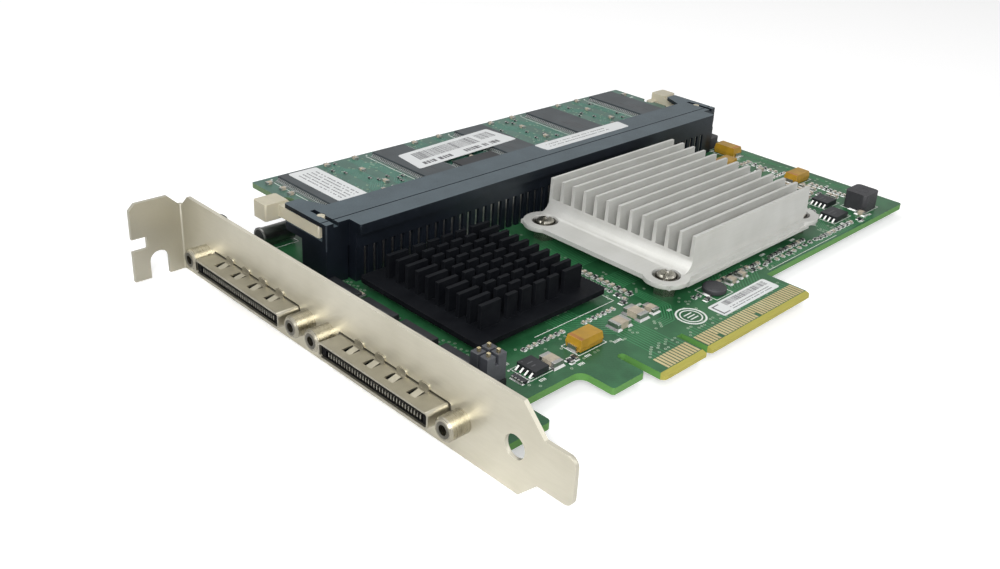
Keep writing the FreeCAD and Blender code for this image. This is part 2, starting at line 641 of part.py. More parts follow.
# small parts between two chips: share of the gap and Y
MODULE_PARTS = ((0.24, 104.9), (0.72, 104.9), (0.53, 97.5), (0.53, 88.2), (0.32, 84.0))
MODULE_PART_W = 1.0
MODULE_PART_L = 1.6
MODULE_PART_H = 0.7


def module_capacitors():
    """Small decoupling parts between the chips and at the ends of the module."""
    gap = chip_pitch - CHIP_W
    half_x, half_y = MODULE_PART_W / 2, MODULE_PART_L / 2
    places = []
    for i in range(CHIP_N - 1):
        gap_x = chip_x0(i) + CHIP_W
        places += [(gap_x + share * gap, y, half_x, half_y) for share, y in MODULE_PARTS]
    places += [(module_x0 + 2.6, 103.4, half_y, half_x), (module_x0 + 3.2, 98.6, half_y, half_x),
               (module_x0 + 3.0, 95.0, half_y, half_x), (module_x1 - 2.8, 101.0, half_y, half_x)]
    top = MODULE_TOP_Z + MODULE_PART_H
    parts = [box(x - hx, x + hx, y - hy, y + hy, MODULE_TOP_Z, top) for x, y, hx, hy in places]
    return Part.Compound(parts)


# ---------------------------------------------------------------- heat sinks
def pin_spans():
    """X spans of one row: narrow pins between two wide ones, with a wider gap beside the wide ones."""
    narrow_l = PIN_NARROW * PIN_NARROW_X + (PIN_NARROW - 1) * PIN_GAP
    first = PIN_SINK_X - narrow_l / 2
    spans = [(first - PIN_GAP_WIDE - PIN_WIDE_X, first - PIN_GAP_WIDE)]
    for i in range(PIN_NARROW):
        x = first + i * (PIN_NARROW_X + PIN_GAP)
        spans.append((x, x + PIN_NARROW_X))
    last = first + narrow_l + PIN_GAP_WIDE
    spans.append((last, last + PIN_WIDE_X))
    return spans


def pin_heat_sink():
    half = PIN_SINK_BASE / 2
    z0 = CONTROLLER_H + PAD_LAYER
    z1 = z0 + PIN_SINK_BASE_T
    outline = rounded_rectangle(PIN_SINK_X - half, PIN_SINK_X + half, PIN_SINK_Y - half, PIN_SINK_Y + half,
                                PIN_SINK_CHAMFER)
    plate = prism_z(outline, z0, z1)
    pitch = (PIN_BLOCK_Y - PIN_Y) / (PIN_ROWS - 1)
    pins = []
    for row in range(PIN_ROWS):
        y = PIN_SINK_Y - PIN_BLOCK_Y / 2 + row * pitch
        for pin_x0, pin_x1 in pin_spans():
            pins.append(box(pin_x0, pin_x1, y, y + PIN_Y, z1, z1 + PIN_H))
    return joined([plate] + pins)


def flat_chip(mid_x, mid_y, width, height, cap_share=0.86):
    """Substrate on the board with a thinner cap on top."""
    half = width / 2
    cap = half * cap_share
    z_step = height * 0.45
    return joined([box(mid_x - half, mid_x + half, mid_y - half, mid_y + half, 0, z_step),
                   box(mid_x - cap, mid_x + cap, mid_y - cap, mid_y + cap, z_step, height)])


def pad_layer(mid_x, mid_y, width, z0):
    half = width / 2
    return box(mid_x - half, mid_x + half, mid_y - half, mid_y + half, z0, z0 + PAD_LAYER)


def fin_heat_sink():
    top = FIN_BASE_TOP_Z
    low = top - FIN_BASE_T
    x0 = SCREW_XS[0] - EAR_INSET
    x1 = SCREW_XS[1] + EAR_INSET
    y0 = SCREW_YS[0] - EAR_INSET
    y1 = SCREW_YS[1] + EAR_INSET
    plate = box(x0, x1, y0, y1, low + STEP_H, top)
    ledge = box(x0 + STEP_IN + EAR_R, x1 - STEP_IN - EAR_R, y0 - STEP_IN, y1 + STEP_IN, low, low + STEP_H)
    solids = [plate, ledge]
    for x in SCREW_XS:
        for y in SCREW_YS:
            solids.append(post_z(x, y, low + STEP_H, top, 2 * EAR_R))
    fin_x1 = FIN_SINK_X0 + FIN_SINK_L
    for i in range(FIN_N):
        mid_y = FIN_Y0 + FIN_TOP_T / 2 + i * FIN_PITCH
        fin = prism_x([(mid_y - FIN_ROOT_T / 2, top), (mid_y + FIN_ROOT_T / 2, top),
                       (mid_y + FIN_TOP_T / 2, FIN_TOP_Z), (mid_y - FIN_TOP_T / 2, FIN_TOP_Z)],
                      FIN_SINK_X0, fin_x1)
        solids.append(fin)
    foot_x = FIN_SINK_X0 - FIN_FOOT_R
    foot_y1 = FIN_Y0 + (FIN_N - 1) * FIN_PITCH + FIN_TOP_T
    foot_block = box(foot_x, FIN_SINK_X0, FIN_Y0 - 0.2, foot_y1, top, top + FIN_FOOT_R)
    foot_round = Part.makeCylinder(FIN_FOOT_R, y1 - y0 + 20, V(foot_x, y0 - 10, top + FIN_FOOT_R), V(0, 1, 0))
    solids.append(foot_block.cut(foot_round))
    sink = joined(solids)
    bores = [post_z(x, y, low - 1, top + 1, COUNTERBORE_D) for x in SCREW_XS for y in SCREW_YS]
    return sink.cut(bores)


def heat_sink_screws():
    """Shouldered screws that pull the heat sink down, each into a nut under the board."""
    screws = []
    head_z1 = FIN_BASE_TOP_Z + SCREW_RISE
    head_z0 = head_z1 - SCREW_HEAD_H
    for x in SCREW_XS:
        for y in SCREW_YS:
            head = post_z(x, y, head_z0, head_z1, SCREW_HEAD_D)
            rim = [e for e in head.Edges if e.BoundBox.ZMin > head_z1 - 0.01]
            head = head.makeChamfer(0.4, rim)
            collar = hexagon_z(x, y, 0, head_z0, COUNTERBORE_D - 2.0)
            shank = post_z(x, y, -BOARD_T, 0, SCREW_SHANK_D)
            nut = hexagon_z(x, y, -BOARD_T - SCREW_NUT_H, -BOARD_T, SCREW_NUT_D)
            slot = box(x - SCREW_HEAD_D, x + SCREW_HEAD_D, y - 0.4, y + 0.4, head_z1 - 0.9, head_z1 + 1)
            slot.rotate(V(x, y, 0), V(0, 0, 1), 25)
            screws.append(joined([head, collar, shank, nut]).cut(slot))
    return Part.Compound(screws)


# ---------------------------------------------------------------- small parts on the board
# centre x, y, then the side along X, the side along Y and the height of each part
TANTALUMS = ((39.8, 18.3, 7.0, 4.3, 2.8), (board_far_x - 9.35, 40.8, 7.3, 4.3, 2.8),
             (board_far_x - 18.25, 60.2, 7.3, 4.3, 2.8), (board_far_x - 7.25, 66.6, 4.3, 7.3, 3.0))
CERAMICS = ((29.3, 17.6, 2.6, 4.2, 1.4), (51.2, 18.6, 4.2, 3.0, 1.5), (57.4, 19.2, 2.8, 4.8, 1.5),
            (61.8, 18.6, 2.0, 3.2, 1.1), (87.3, 15.0, 3.0, 1.8, 1.2), (91.8, 15.2, 2.6, 1.5, 1.1),
            (17.0, 62.4, 1.8, 3.0, 1.1), (board_far_x - 17.25, 15.6, 1.5, 2.6, 1.0),
            (board_far_x - 11.65, 51.8, 2.6, 1.5, 1.0), (board_far_x - 16.25, 54.0, 2.6, 1.5, 1.0))
RESISTORS = ((32.6, 15.6, 0.9, 1.7), (34.2, 15.9, 0.9, 1.7), (59.6, 24.6, 1.7, 0.9), (61.4, 27.4, 0.9, 1.7),
             (75.6, 13.4, 1.7, 0.9), (96.6, 15.2, 1.7, 0.9), (103.6, 15.4, 1.7, 0.9), (112.0, 14.6, 1.7, 0.9),
             (board_far_x - 21.05, 13.8, 0.9, 1.7), (board_far_x - 13.85, 30.6, 1.7, 0.9),
             (board_far_x - 26.65, 44.0, 1.7, 0.9))
RESISTOR_H = 0.55
# small chips with leads on both sides
ICS = ((25.0, 18.4, 3.9, 5.0, 1.4), (board_far_x - 25.05, 19.6, 6.2, 5.0, 1.5),
       (board_far_x - 18.65, 26.4, 5.0, 5.0, 1.5), (board_far_x - 30.65, 52.0, 6.0, 8.0, 1.2))
IC_LEAD_PITCH = 1.27
IC_LEAD_W = 0.42
IC_LEAD_OUT = 0.95
ARRAY = (20.4, 17.4, 1.7, 3.4)
ARRAY_END = 0.35
END_SHARE = 0.22            # length of a metal end against the whole part


def two_ended(mid_x, mid_y, along_x, along_y, height):
    """Body and two ends of a chip part; the longer side is the current's way."""
    x0, x1 = mid_x - along_x / 2, mid_x + along_x / 2
    y0, y1 = mid_y - along_y / 2, mid_y + along_y / 2
    if along_x >= along_y:
        end = along_x * END_SHARE
        return (box(x0 + end, x1 - end, y0, y1, 0, height),
                [box(x0, x0 + end, y0, y1, 0, height), box(x1 - end, x1, y0, y1, 0, height)])
    end = along_y * END_SHARE
    return (box(x0, x1, y0 + end, y1 - end, 0, height),
            [box(x0, x1, y0, y0 + end, 0, height), box(x0, x1, y1 - end, y1, 0, height)])


def tantalum(mid_x, mid_y, along_x, along_y, height):
    """Moulded block with a draft above and below its parting line, on two bent tabs."""
    hx, hy = along_x / 2, along_y / 2
    z_low, z_mid, z_high = 0.15, height * 0.45, height
    rings = []
    for z, inset in ((z_low, 0.15), (z_mid, 0.0), (z_high, 0.25)):
        x0, x1 = mid_x - hx + inset, mid_x + hx - inset
        y0, y1 = mid_y - hy + inset, mid_y + hy - inset
        rings.append(wire([(x0, y0), (x1, y0), (x1, y1), (x0, y1)], on_xy(z)))
    return Part.makeLoft(rings, True, True)


def tantalum_tabs(mid_x, mid_y, along_x, along_y, height):
    hx, hy = along_x / 2, along_y / 2
    if along_x >= along_y:
        return [box(mid_x + s * hx - (0.35 if s < 0 else 0.0), mid_x + s * hx + (0.35 if s > 0 else 0.0),
                    mid_y - 1.1, mid_y + 1.1, 0, height * 0.45) for s in (-1, 1)]
    return [box(mid_x - 1.1, mid_x + 1.1, mid_y + s * hy - (0.35 if s < 0 else 0.0),
                mid_y + s * hy + (0.35 if s > 0 else 0.0), 0, height * 0.45) for s in (-1, 1)]


def small_ics():
    return Part.Compound([box(x - w / 2, x + w / 2, y - d / 2, y + d / 2, 0.15, h) for x, y, w, d, h in ICS])


def small_ic_leads():
    leads = []
    for x, y, w, d, h in ICS:
        count = int(round(d / IC_LEAD_PITCH))
        for side in (-1, 1):
            for k in range(count):
                lead_y = y + (k - (count - 1) / 2) * d / count
                leads.append(sloped_lead(x + side * w / 2, lead_y, side, IC_LEAD_W, h * 0.5, 0, IC_LEAD_OUT))
    return Part.Compound(leads)


def resistor_array():
    x, y, w, d = ARRAY
    return box(x - w / 2 + ARRAY_END, x + w / 2 - ARRAY_END, y - d / 2, y + d / 2, 0, 0.6)


def resistor_array_ends():
    x, y, w, d = ARRAY
    ends = []
    for side in (-1, 1):
        for k in range(4):
            mid = y + (k - 1.5) * d / 4
            x_in = x + side * (w / 2 - ARRAY_END)
            x_out = x + side * w / 2
            ends.append(box(min(x_in, x_out), max(x_in, x_out), mid - 0.25, mid + 0.25, 0, 0.6))
    return ends


HEADER_X = 13.6
HEADER_Y = 19.2
HEADER_PITCH = 2.54
HEADER_BASE_H = 2.5
HEADER_PIN_TOP = 8.9
HEADER_PIN_W = 0.64
SHUNT_Z1 = 8.2


def header_pin_places():
    offsets = (-HEADER_PITCH / 2, HEADER_PITCH / 2)
    return [(HEADER_X + a, HEADER_Y + b) for a in offsets for b in offsets]


def jumper_header():
    half = HEADER_PITCH
    base = box(HEADER_X - half, HEADER_X + half, HEADER_Y - half, HEADER_Y + half, 0, HEADER_BASE_H)
    w = HEADER_PIN_W / 2
    return base.cut([box(x - w, x + w, y - w, y + w, -1, HEADER_BASE_H + 1) for x, y in header_pin_places()])


def jumper_pins():
    w = HEADER_PIN_W / 2
    return Part.Compound([box(x - w, x + w, y - w, y + w, 0, HEADER_PIN_TOP) for x, y in header_pin_places()])


def jumper_shunts():
    """Two open-topped links, each over the pair of pins that lie along X."""
    w = HEADER_PIN_W / 2
    shunts = []
    for side in (-1, 1):
        y = HEADER_Y + side * HEADER_PITCH / 2
        body = box(HEADER_X - 2.45, HEADER_X + 2.45, y - 1.05, y + 1.05, HEADER_BASE_H, SHUNT_Z1)
        holes = [box(px - w, px + w, py - w, py + w, 0, SHUNT_Z1 + 1) for px, py in header_pin_places()]
        waist = box(HEADER_X - 0.35, HEADER_X + 0.35, y - 2, y + 2, SHUNT_Z1 - 2.0, SHUNT_Z1 + 1)
        shunts.append(body.cut(holes + [waist]))
    return Part.Compound(shunts)


ROUND_X = 80.3
ROUND_Y = 14.9
ROUND_D = 5.6
ROUND_H = 1.5


def round_inductor():
    core = post_z(ROUND_X, ROUND_Y, 0.3, ROUND_H, ROUND_D)
    core = core.makeChamfer(0.3, [e for e in core.Edges if e.BoundBox.ZMin > ROUND_H - 0.01])
    return joined([core, box(ROUND_X - 1.7, ROUND_X + 1.7, ROUND_Y - 1.5, ROUND_Y + 1.5, 0, 0.6)])


# centre x, y, then the two sides and the height
POWER_INDUCTORS = ((board_far_x - 12.35, 18.7, 7.4, 6.6, 5.0), (board_far_x - 7.25, 75.2, 6.0, 6.0, 3.6))
POWER_CORNER = 1.2


def power_inductors():
    bodies = []
    for x, y, w, d, h in POWER_INDUCTORS:
        outline = rounded_rectangle(x - w / 2, x + w / 2, y - d / 2, y + d / 2, POWER_CORNER)
        bodies.append(prism_z(outline, 0, h))
    return Part.Compound(bodies)


CAN_X0 = 14.4
CAN_L = 8.4
CAN_Y = 96.4
CAN_D = 4.4
CAN_RIM_D = 4.8
CAN_RIM_L = 0.6


def crystal_can():
    """Drawn can lying on the board, with its glass end towards the bracket."""
    z = CAN_RIM_D / 2
    can = post_x(CAN_Y, z, CAN_X0 + CAN_RIM_L, CAN_X0 + CAN_L, CAN_D)
    rim = post_x(CAN_Y, z, CAN_X0, CAN_X0 + CAN_RIM_L, CAN_RIM_D)
    return can.fuse(rim).removeSplitter()


BUZZER_X = 4.6
BUZZER_Y = 98.5
BUZZER_D = 5.6
BUZZER_H = 9.3
BUZZER_HOLE_D = 1.2


def buzzer():
    body = post_z(BUZZER_X, BUZZER_Y, 0, BUZZER_H, BUZZER_D)
    body = body.makeChamfer(0.3, [e for e in body.Edges if e.BoundBox.ZMin > BUZZER_H - 0.1])
    return body.cut(post_z(BUZZER_X, BUZZER_Y, BUZZER_H - 2.0, BUZZER_H + 1, BUZZER_HOLE_D))


def solder_joints():
    """Cones where pins come through to the solder side."""
    places = [(x, SOCKET_WALL_Y0 + RIB_D) for x in groove_centres()]
    places += header_pin_places()
    for mid_y in PORT_YS:
        for i in range(PORT_PINS // 2):
            places.append((PORT_BODY_X - 1.6, mid_y + (i - (PORT_PINS // 2 - 1) / 2) * 2 * PORT_PITCH))
        for side in (-1, 1):
            places.append((4.6, mid_y + side * (PORT_BODY_HALF_Y - 1.5)))
    joints = []
    half = SOLDER_W / 2
    tip = SOLDER_TIP / 2
    for x, y in places:
        cone = Part.makeWedge(-half, 0, -half, -tip, -tip, half, SOLDER_H, half, tip, tip)
        cone.rotate(V(0, 0, 0), V(1, 0, 0), -90)
        joints.append(cone.translated(V(x, y, -BOARD_T)))
    return Part.Compound(joints)


# ---------------------------------------------------------------- the card
def all_parts():
    parts = {
        "circuit_board": circuit_board(),
        "edge_contacts_component_side": edge_contacts(0, PAD_T, (16, 30)),
        "edge_contacts_solder_side": edge_contacts(-BOARD_T - PAD_T, -BOARD_T, (0,)),
        "mounting_bracket": mounting_bracket(),
        "jack_posts": jack_posts(),
        "memory_socket": memory_socket(),
        "memory_socket_tails": socket_tails(),
        "memory_module_board": memory_module_board(),
        "memory_chips": memory_chips(),
        "memory_chip_leads": memory_chip_leads(),
        "memory_capacitors": module_capacitors(),
        "pin_heat_sink": pin_heat_sink(),
        "bus_controller_chip": flat_chip(PIN_SINK_X, PIN_SINK_Y, CONTROLLER_W, CONTROLLER_H),
        "bus_controller_pad": pad_layer(PIN_SINK_X, PIN_SINK_Y, CONTROLLER_W * 0.8, CONTROLLER_H),
        "fin_heat_sink": fin_heat_sink(),
        "heat_sink_screws": heat_sink_screws(),
        "small_ics": small_ics(),
        "small_ic_leads": small_ic_leads(),
        "jumper_header": jumper_header(),
        "jumper_pins": jumper_pins(),
        "jumper_shunts": jumper_shunts(),
        "round_inductor": round_inductor(),
        "power_inductors": power_inductors(),
        "crystal_can": crystal_can(),
        "buzzer": buzzer(),
        "solder_joints": solder_joints(),
    }
    for letter, mid_y in zip("ab", PORT_YS):
        parts["port_" + letter + "_shell"] = port_shell(mid_y)
        parts["port_" + letter + "_insulator"] = port_insulator(mid_y)
        parts["port_" + letter + "_contacts"] = port_contacts(mid_y)
    lever = ejector_lever()
    parts["ejector_lever_left"] = lever
    parts["ejector_lever_right"] = mirrored(lever, module_mid_x)
    sink_mid_x = (SCREW_XS[0] + SCREW_XS[1]) / 2
    sink_mid_y = (SCREW_YS[0] + SCREW_YS[1]) / 2
    processor_h = FIN_BASE_TOP_Z - FIN_BASE_T - PAD_LAYER
    parts["processor_chip"] = flat_chip(sink_mid_x, sink_mid_y, PROCESSOR_W, processor_h, 0.5)
    parts["processor_pad"] = pad_layer(sink_mid_x, sink_mid_y, PROCESSOR_W * 0.45, processor_h)
    parts["tantalum_capacitors"] = Part.Compound([tantalum(*row) for row in TANTALUMS])
    parts["tantalum_tabs"] = Part.Compound([tab for row in TANTALUMS for tab in tantalum_tabs(*row)])
    ceramics = [two_ended(*row) for row in CERAMICS]
    parts["ceramic_capacitors"] = Part.Compound([body for body, ends in ceramics])
    parts["ceramic_capacitor_ends"] = Part.Compound([end for body, ends in ceramics for end in ends])
    resistors = [two_ended(*row, RESISTOR_H) for row in RESISTORS]
    parts["resistors"] = Part.Compound([body for body, ends in resistors] + [resistor_array()])
    resistor_ends = [end for body, ends in resistors for end in ends]
    parts["resistor_ends"] = Part.Compound(resistor_ends + resistor_array_ends())
    return parts


def main():
    parts = all_parts()
    whole = FreeCAD.BoundBox()
    for shape in parts.values():
        whole.add(shape.BoundBox)
    to_origin = V(-whole.Center.x, -whole.Center.y, -whole.ZMin)
    for name, shape in parts.items():
        placed = shape.translated(to_origin)
        placed.exportStep("parts/" + name + ".step")
        facts = (name, len(placed.Solids), placed.isValid(), placed.Volume)
        print("%-30s solids %3d  valid %s  volume %9.2f" % facts)
    print("box", whole.XLength, whole.YLength, whole.ZLength, "shift", to_origin)


main()
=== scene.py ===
# %% [markdown]
# # A storage controller card, dressed for the shelf
# The card's solids come packed, with their joints and sizes. This lesson loads them
# as a fixed frame and gives every surface its real finish: solder mask over copper, tin-plated sheet,
# extruded aluminium, moulded plastic. Then it adds the fine work that solids leave out, such as
# tracks, printed outlines, tiny chip parts and the fingers inside the ports.

# %% Load the imported frame
import bmesh
import bpy
import math
import random
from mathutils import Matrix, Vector


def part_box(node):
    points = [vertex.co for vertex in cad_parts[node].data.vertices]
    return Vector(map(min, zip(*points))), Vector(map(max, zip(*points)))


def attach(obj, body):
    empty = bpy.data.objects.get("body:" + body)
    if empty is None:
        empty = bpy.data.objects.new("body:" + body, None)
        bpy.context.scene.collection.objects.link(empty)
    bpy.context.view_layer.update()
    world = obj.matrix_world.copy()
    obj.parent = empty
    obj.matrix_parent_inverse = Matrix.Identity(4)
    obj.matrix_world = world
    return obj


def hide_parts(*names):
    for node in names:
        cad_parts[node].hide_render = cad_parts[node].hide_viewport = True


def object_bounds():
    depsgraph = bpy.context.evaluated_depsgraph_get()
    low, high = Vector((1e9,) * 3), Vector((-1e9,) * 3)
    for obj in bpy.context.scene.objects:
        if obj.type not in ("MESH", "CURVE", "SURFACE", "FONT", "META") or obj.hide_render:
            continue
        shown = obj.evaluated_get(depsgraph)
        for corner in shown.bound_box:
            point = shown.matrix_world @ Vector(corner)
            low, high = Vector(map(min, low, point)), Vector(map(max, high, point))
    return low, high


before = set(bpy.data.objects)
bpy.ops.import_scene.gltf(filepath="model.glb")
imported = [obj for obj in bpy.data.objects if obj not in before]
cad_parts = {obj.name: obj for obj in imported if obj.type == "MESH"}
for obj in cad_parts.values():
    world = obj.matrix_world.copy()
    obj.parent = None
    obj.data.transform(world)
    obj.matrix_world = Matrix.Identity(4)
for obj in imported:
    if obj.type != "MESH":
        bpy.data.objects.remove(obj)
cad_low, cad_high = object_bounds()

# %% [markdown]
# ## Millimetres on the card
# Drawings of a card count from three places: the outer face of the bracket, the tips of the edge
# fingers and the component side of the board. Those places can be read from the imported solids, so
# the rest of the lesson speaks in those millimetres, and one function turns them into the frame.

# %% A place on the card
MM = 0.001
BRACKET_SHEET = 0.86 * MM
board_low, board_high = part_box("circuit_board")
bracket_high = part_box("mounting_bracket")[1]
CARD_ZERO = Vector((bracket_high.x - BRACKET_SHEET, board_low.y, board_high.z))


def on_card(x, y, z):
    return CARD_ZERO + Vector((x, y, z)) * MM


def card_box(node):
    """A node's lowest and highest corner in the card's own millimetres."""
    low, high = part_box(node)
    return (low - CARD_ZERO) / MM, (high - CARD_ZERO) / MM


print("card zero in the frame:", [round(v, 5) for v in CARD_ZERO])

# %% [markdown]
# ## The camera
# The card is looked at over its bracket from a low front corner, so the ports face the viewer and
# the heat sinks stand out behind them. Its place and turn are plain numbers; the small shift only
# moves the picture within its frame.

# %% Camera
camera_data = bpy.data.cameras.new("card_camera")
camera = bpy.data.objects.new("card_camera", camera_data)
bpy.context.scene.collection.objects.link(camera)
camera.location = on_card(-102.654, -97.305, 107.291)
camera.rotation_euler = [math.radians(a) for a in (65.69, -3.923, -46.482)]
camera_data.lens = 37.557
camera_data.sensor_width = 36.0
camera_data.shift_x = -0.05
camera_data.shift_y = -0.0545
camera_data.clip_start = 0.005
bpy.context.scene.camera = camera
bpy.context.scene.view_settings.view_transform = "Standard"
print("camera looks from", [round(v, 3) for v in camera.location])

# %% [markdown]
# ## Nodes in short steps
# The room, the table and every finish are trees of nodes. A small helper makes and joins them, so that
# each tree reads like a recipe.

# %% A tree of nodes, and a finish
class Nodes:
    """Makes and joins the nodes of one tree in short steps."""

    def __init__(self, tree):
        self.tree = tree

    def put(self, socket, value):
        if isinstance(value, bpy.types.NodeSocket):
            self.tree.links.new(value, socket)
        elif isinstance(value, tuple) and len(value) == 3 and socket.type == "RGBA":
            socket.default_value = (*value, 1)
        else:
            socket.default_value = value

    def node(self, kind, inputs=(), **settings):
        made = self.tree.nodes.new("ShaderNode" + kind)
        for name, value in settings.items():
            setattr(made, name, value)
        for key, value in dict(inputs).items():
            self.put(made.inputs[key], value)
        return made

    def group(self, tree, **values):
        made = self.node("Group", node_tree=tree)
        for name, value in values.items():
            self.put(made.inputs[name.replace("_", " ")], value)
        return made.outputs

    def here(self):
        return self.node("TexCoord").outputs["Object"]

    def maths(self, operation, a, b=0.0, clamp=False):
        return self.node("Math", {0: a, 1: b}, operation=operation, use_clamp=clamp).outputs[0]

    def choose(self, mask, off, on):
        """One value where the mask is 0 and another where it is 1."""
        return self.node("Mix", {0: mask, 2: off, 3: on}).outputs[0]

    def blend(self, mask, off, on):
        """One colour where the mask is 0 and another where it is 1."""
        return self.node("Mix", {0: mask, 6: off, 7: on}, data_type="RGBA").outputs[2]

    def span(self, value, low, high, start=0.0, end=1.0):
        """Runs from low to high while the value runs from start to end."""
        ends = {"From Min": start, "From Max": end, "To Min": low, "To Max": high}
        return self.node("MapRange", {"Value": value, **ends}).outputs["Result"]

    def ray_is(self, *kinds):
        """1 where a ray is of one of these kinds."""
        path = self.node("LightPath").outputs
        total = path[kinds[0]]
        for kind in kinds[1:]:
            total = self.maths("MAXIMUM", total, path[kind])
        return total


class Finish(Nodes):
    """A material, with its shader's sockets set by their names."""

    def __init__(self, name, **sockets):
        self.material = bpy.data.materials.new(name)
        self.material.use_nodes = True
        super().__init__(self.material.node_tree)
        self.shader = self.tree.nodes["Principled BSDF"]
        for socket, value in sockets.items():
            self.set(socket.replace("_", " "), value)

    def set(self, socket, value):
        self.put(self.shader.inputs[socket], value)

    def bump(self, height, depth_mm, strength):
        made = self.node("Bump", {"Height": height, "Strength": strength, "Distance": depth_mm * MM})
        self.set("Normal", made.outputs["Normal"])

    def place_y(self):
        return self.node("SeparateXYZ", {0: self.here()}).outputs["Y"]

    def face_z(self):
        """How far a face looks up: 1 for a floor, 0 for a wall, -1 for a ceiling."""
        return self.node("SeparateXYZ", {0: self.node("NewGeometry").outputs["True Normal"]}).outputs["Z"]


def scaled(colour, factor):
    return tuple(min(1.0, c * factor) for c in colour)


print("a green at half its strength:", scaled((0.02, 0.12, 0.05), 0.5))

# %% [markdown]
# ## Light, floor and background
# A studio for small plated parts is a white room: big soft panels, a pale table and nothing dark to
# mirror. The background is pure white only for the camera. Metal mirrors a softer version of it that
# darkens towards the table, and matt surfaces get less still, so it can't flood the object with
# light. The table adds a little of its own light for the camera and keeps the shadow.

# %% Soft light from the left, a weak fill from the right, one panel overhead
def soft_panel(name, direction, distance, size, power):
    data = bpy.data.lights.new(name, "AREA")
    data.shape = "DISK"
    data.size = size
    data.energy = power
    panel = bpy.data.objects.new(name, data)
    away = Vector(direction).normalized()
    panel.location = on_card(*CARD_MIDDLE) + away * distance
    panel.rotation_euler = away.to_track_quat("Z", "Y").to_euler()
    bpy.context.scene.collection.objects.link(panel)


CARD_MIDDLE = (80, 50, 5)
soft_panel("key_panel", (-0.70, -0.52, 0.52), 0.60, 0.34, 3.2)
soft_panel("front_panel", (0.60, -0.70, 0.40), 1.0, 0.7, 1.7)
soft_panel("top_panel", (-0.30, 0.40, 1.0), 1.0, 0.8, 3.5)
print("panels:", len(bpy.data.lights))

# %% [markdown]
# The room is the world's background, and each kind of ray gets its own strength from it: little for
# matt surfaces, a soft rise from the table upwards for what metal mirrors, and full white for the
# camera. The Light Path node tells the rays apart.

# %% World: what matt surfaces, metal and the camera get from the room
ROOM_LIGHT = 0.25
MIRRORED_LOW, MIRRORED_HIGH, MIRRORED_UP_TO = 0.28, 0.95, 0.7
world = bpy.data.worlds.new("white_room")
bpy.context.scene.world = world
world.use_nodes = True
room = Nodes(world.node_tree)
background = world.node_tree.nodes["Background"]
room.put(background.inputs["Color"], (1.0, 1.0, 1.0))
height = room.node("SeparateXYZ", {0: room.node("TexCoord").outputs["Generated"]}).outputs["Z"]
mirrored = room.span(height, MIRRORED_LOW, MIRRORED_HIGH, 0.0, MIRRORED_UP_TO)
strength = room.choose(room.ray_is("Is Glossy Ray"), ROOM_LIGHT, mirrored)
strength = room.choose(room.ray_is("Is Camera Ray", "Is Transmission Ray"), strength, 1.0)
room.put(background.inputs["Strength"], strength)
print("room nodes:", len(world.node_tree.nodes))

# %% [markdown]
# The table is one large pale face just below the card, so that the card's lowest edge stands on it
# without cutting it. It rides on no body, since it isn't a part of the card.

# %% Table
TABLE_GLOW = 0.42
TABLE_GAP = 0.0002
cloth = Finish("white_table", Base_Color=(0.80, 0.80, 0.80), Roughness=0.9, Specular_IOR_Level=0.0,
               Emission_Color=(1.0, 1.0, 1.0))
seen = cloth.ray_is("Is Camera Ray", "Is Transmission Ray")
cloth.set("Emission Strength", cloth.maths("MULTIPLY", seen, TABLE_GLOW))
floor_mesh = bpy.data.meshes.new("floor")
reach = 3.0
floor_mesh.from_pydata([(-reach, -reach, 0), (reach, -reach, 0), (reach, reach, 0), (-reach, reach, 0)],
                       [], [(0, 1, 2, 3)])
floor = bpy.data.objects.new("floor", floor_mesh)
floor.location = (0, 0, cad_low.z - TABLE_GAP)
floor_mesh.materials.append(cloth.material)
bpy.context.scene.collection.objects.link(floor)
print("table at", round(floor.location.z, 5))

# %% [markdown]
# ## Effects that finishes share
# Blotches, lines along one direction and brightened edges, partly painted highlight, turn up in many
# finishes. Each is a node group, built once and placed in each finish with its own values.

# %% Shared effects as node groups
def effect(name, inputs, outputs):
    """An empty node group with named sockets: its nodes, what it is given and what it puts out."""
    tree = bpy.data.node_groups.new(name, "ShaderNodeTree")
    for label, kind, value in inputs:
        socket = tree.interface.new_socket(label, in_out="INPUT", socket_type="NodeSocket" + kind)
        socket.default_value = value
    for label in outputs:
        tree.interface.new_socket(label, in_out="OUTPUT", socket_type="NodeSocketFloat")
    return Nodes(tree), tree.nodes.new("NodeGroupInput").outputs, tree.nodes.new("NodeGroupOutput").inputs


def blotch_effect():
    """Soft irregular patches and a finer grain over them, both 0 to 1."""
    g, given, result = effect("blotches", [("Patch mm", "Float", 4.0), ("Grain mm", "Float", 0.3)],
                              ["Patches", "Grain"])
    for size, out, detail in (("Patch mm", "Patches", 3.0), ("Grain mm", "Grain", 2.0)):
        scale = g.maths("DIVIDE", 1 / MM, given[size])
        noise = g.node("TexNoise", {"Vector": g.here(), "Scale": scale, "Detail": detail})
        g.put(result[out], noise.outputs["Fac"])
    return g.tree


def drawn_effect():
    """Lines left by drawing, rolling or extruding: noise stretched along one direction."""
    g, given, result = effect("drawn_lines",
                              [("Stretch", "Vector", (1.0, 1.0, 1.0)), ("Line mm", "Float", 0.2)], ["Lines"])
    squeezed = g.node("VectorMath", {0: g.here(), 1: given["Stretch"]}, operation="MULTIPLY").outputs[0]
    scale = g.maths("DIVIDE", 1 / MM, given["Line mm"])
    noise = g.node("TexNoise", {"Vector": squeezed, "Scale": scale, "Detail": 4.0, "Roughness": 0.65})
    g.put(result["Lines"], noise.outputs["Fac"])
    return g.tree
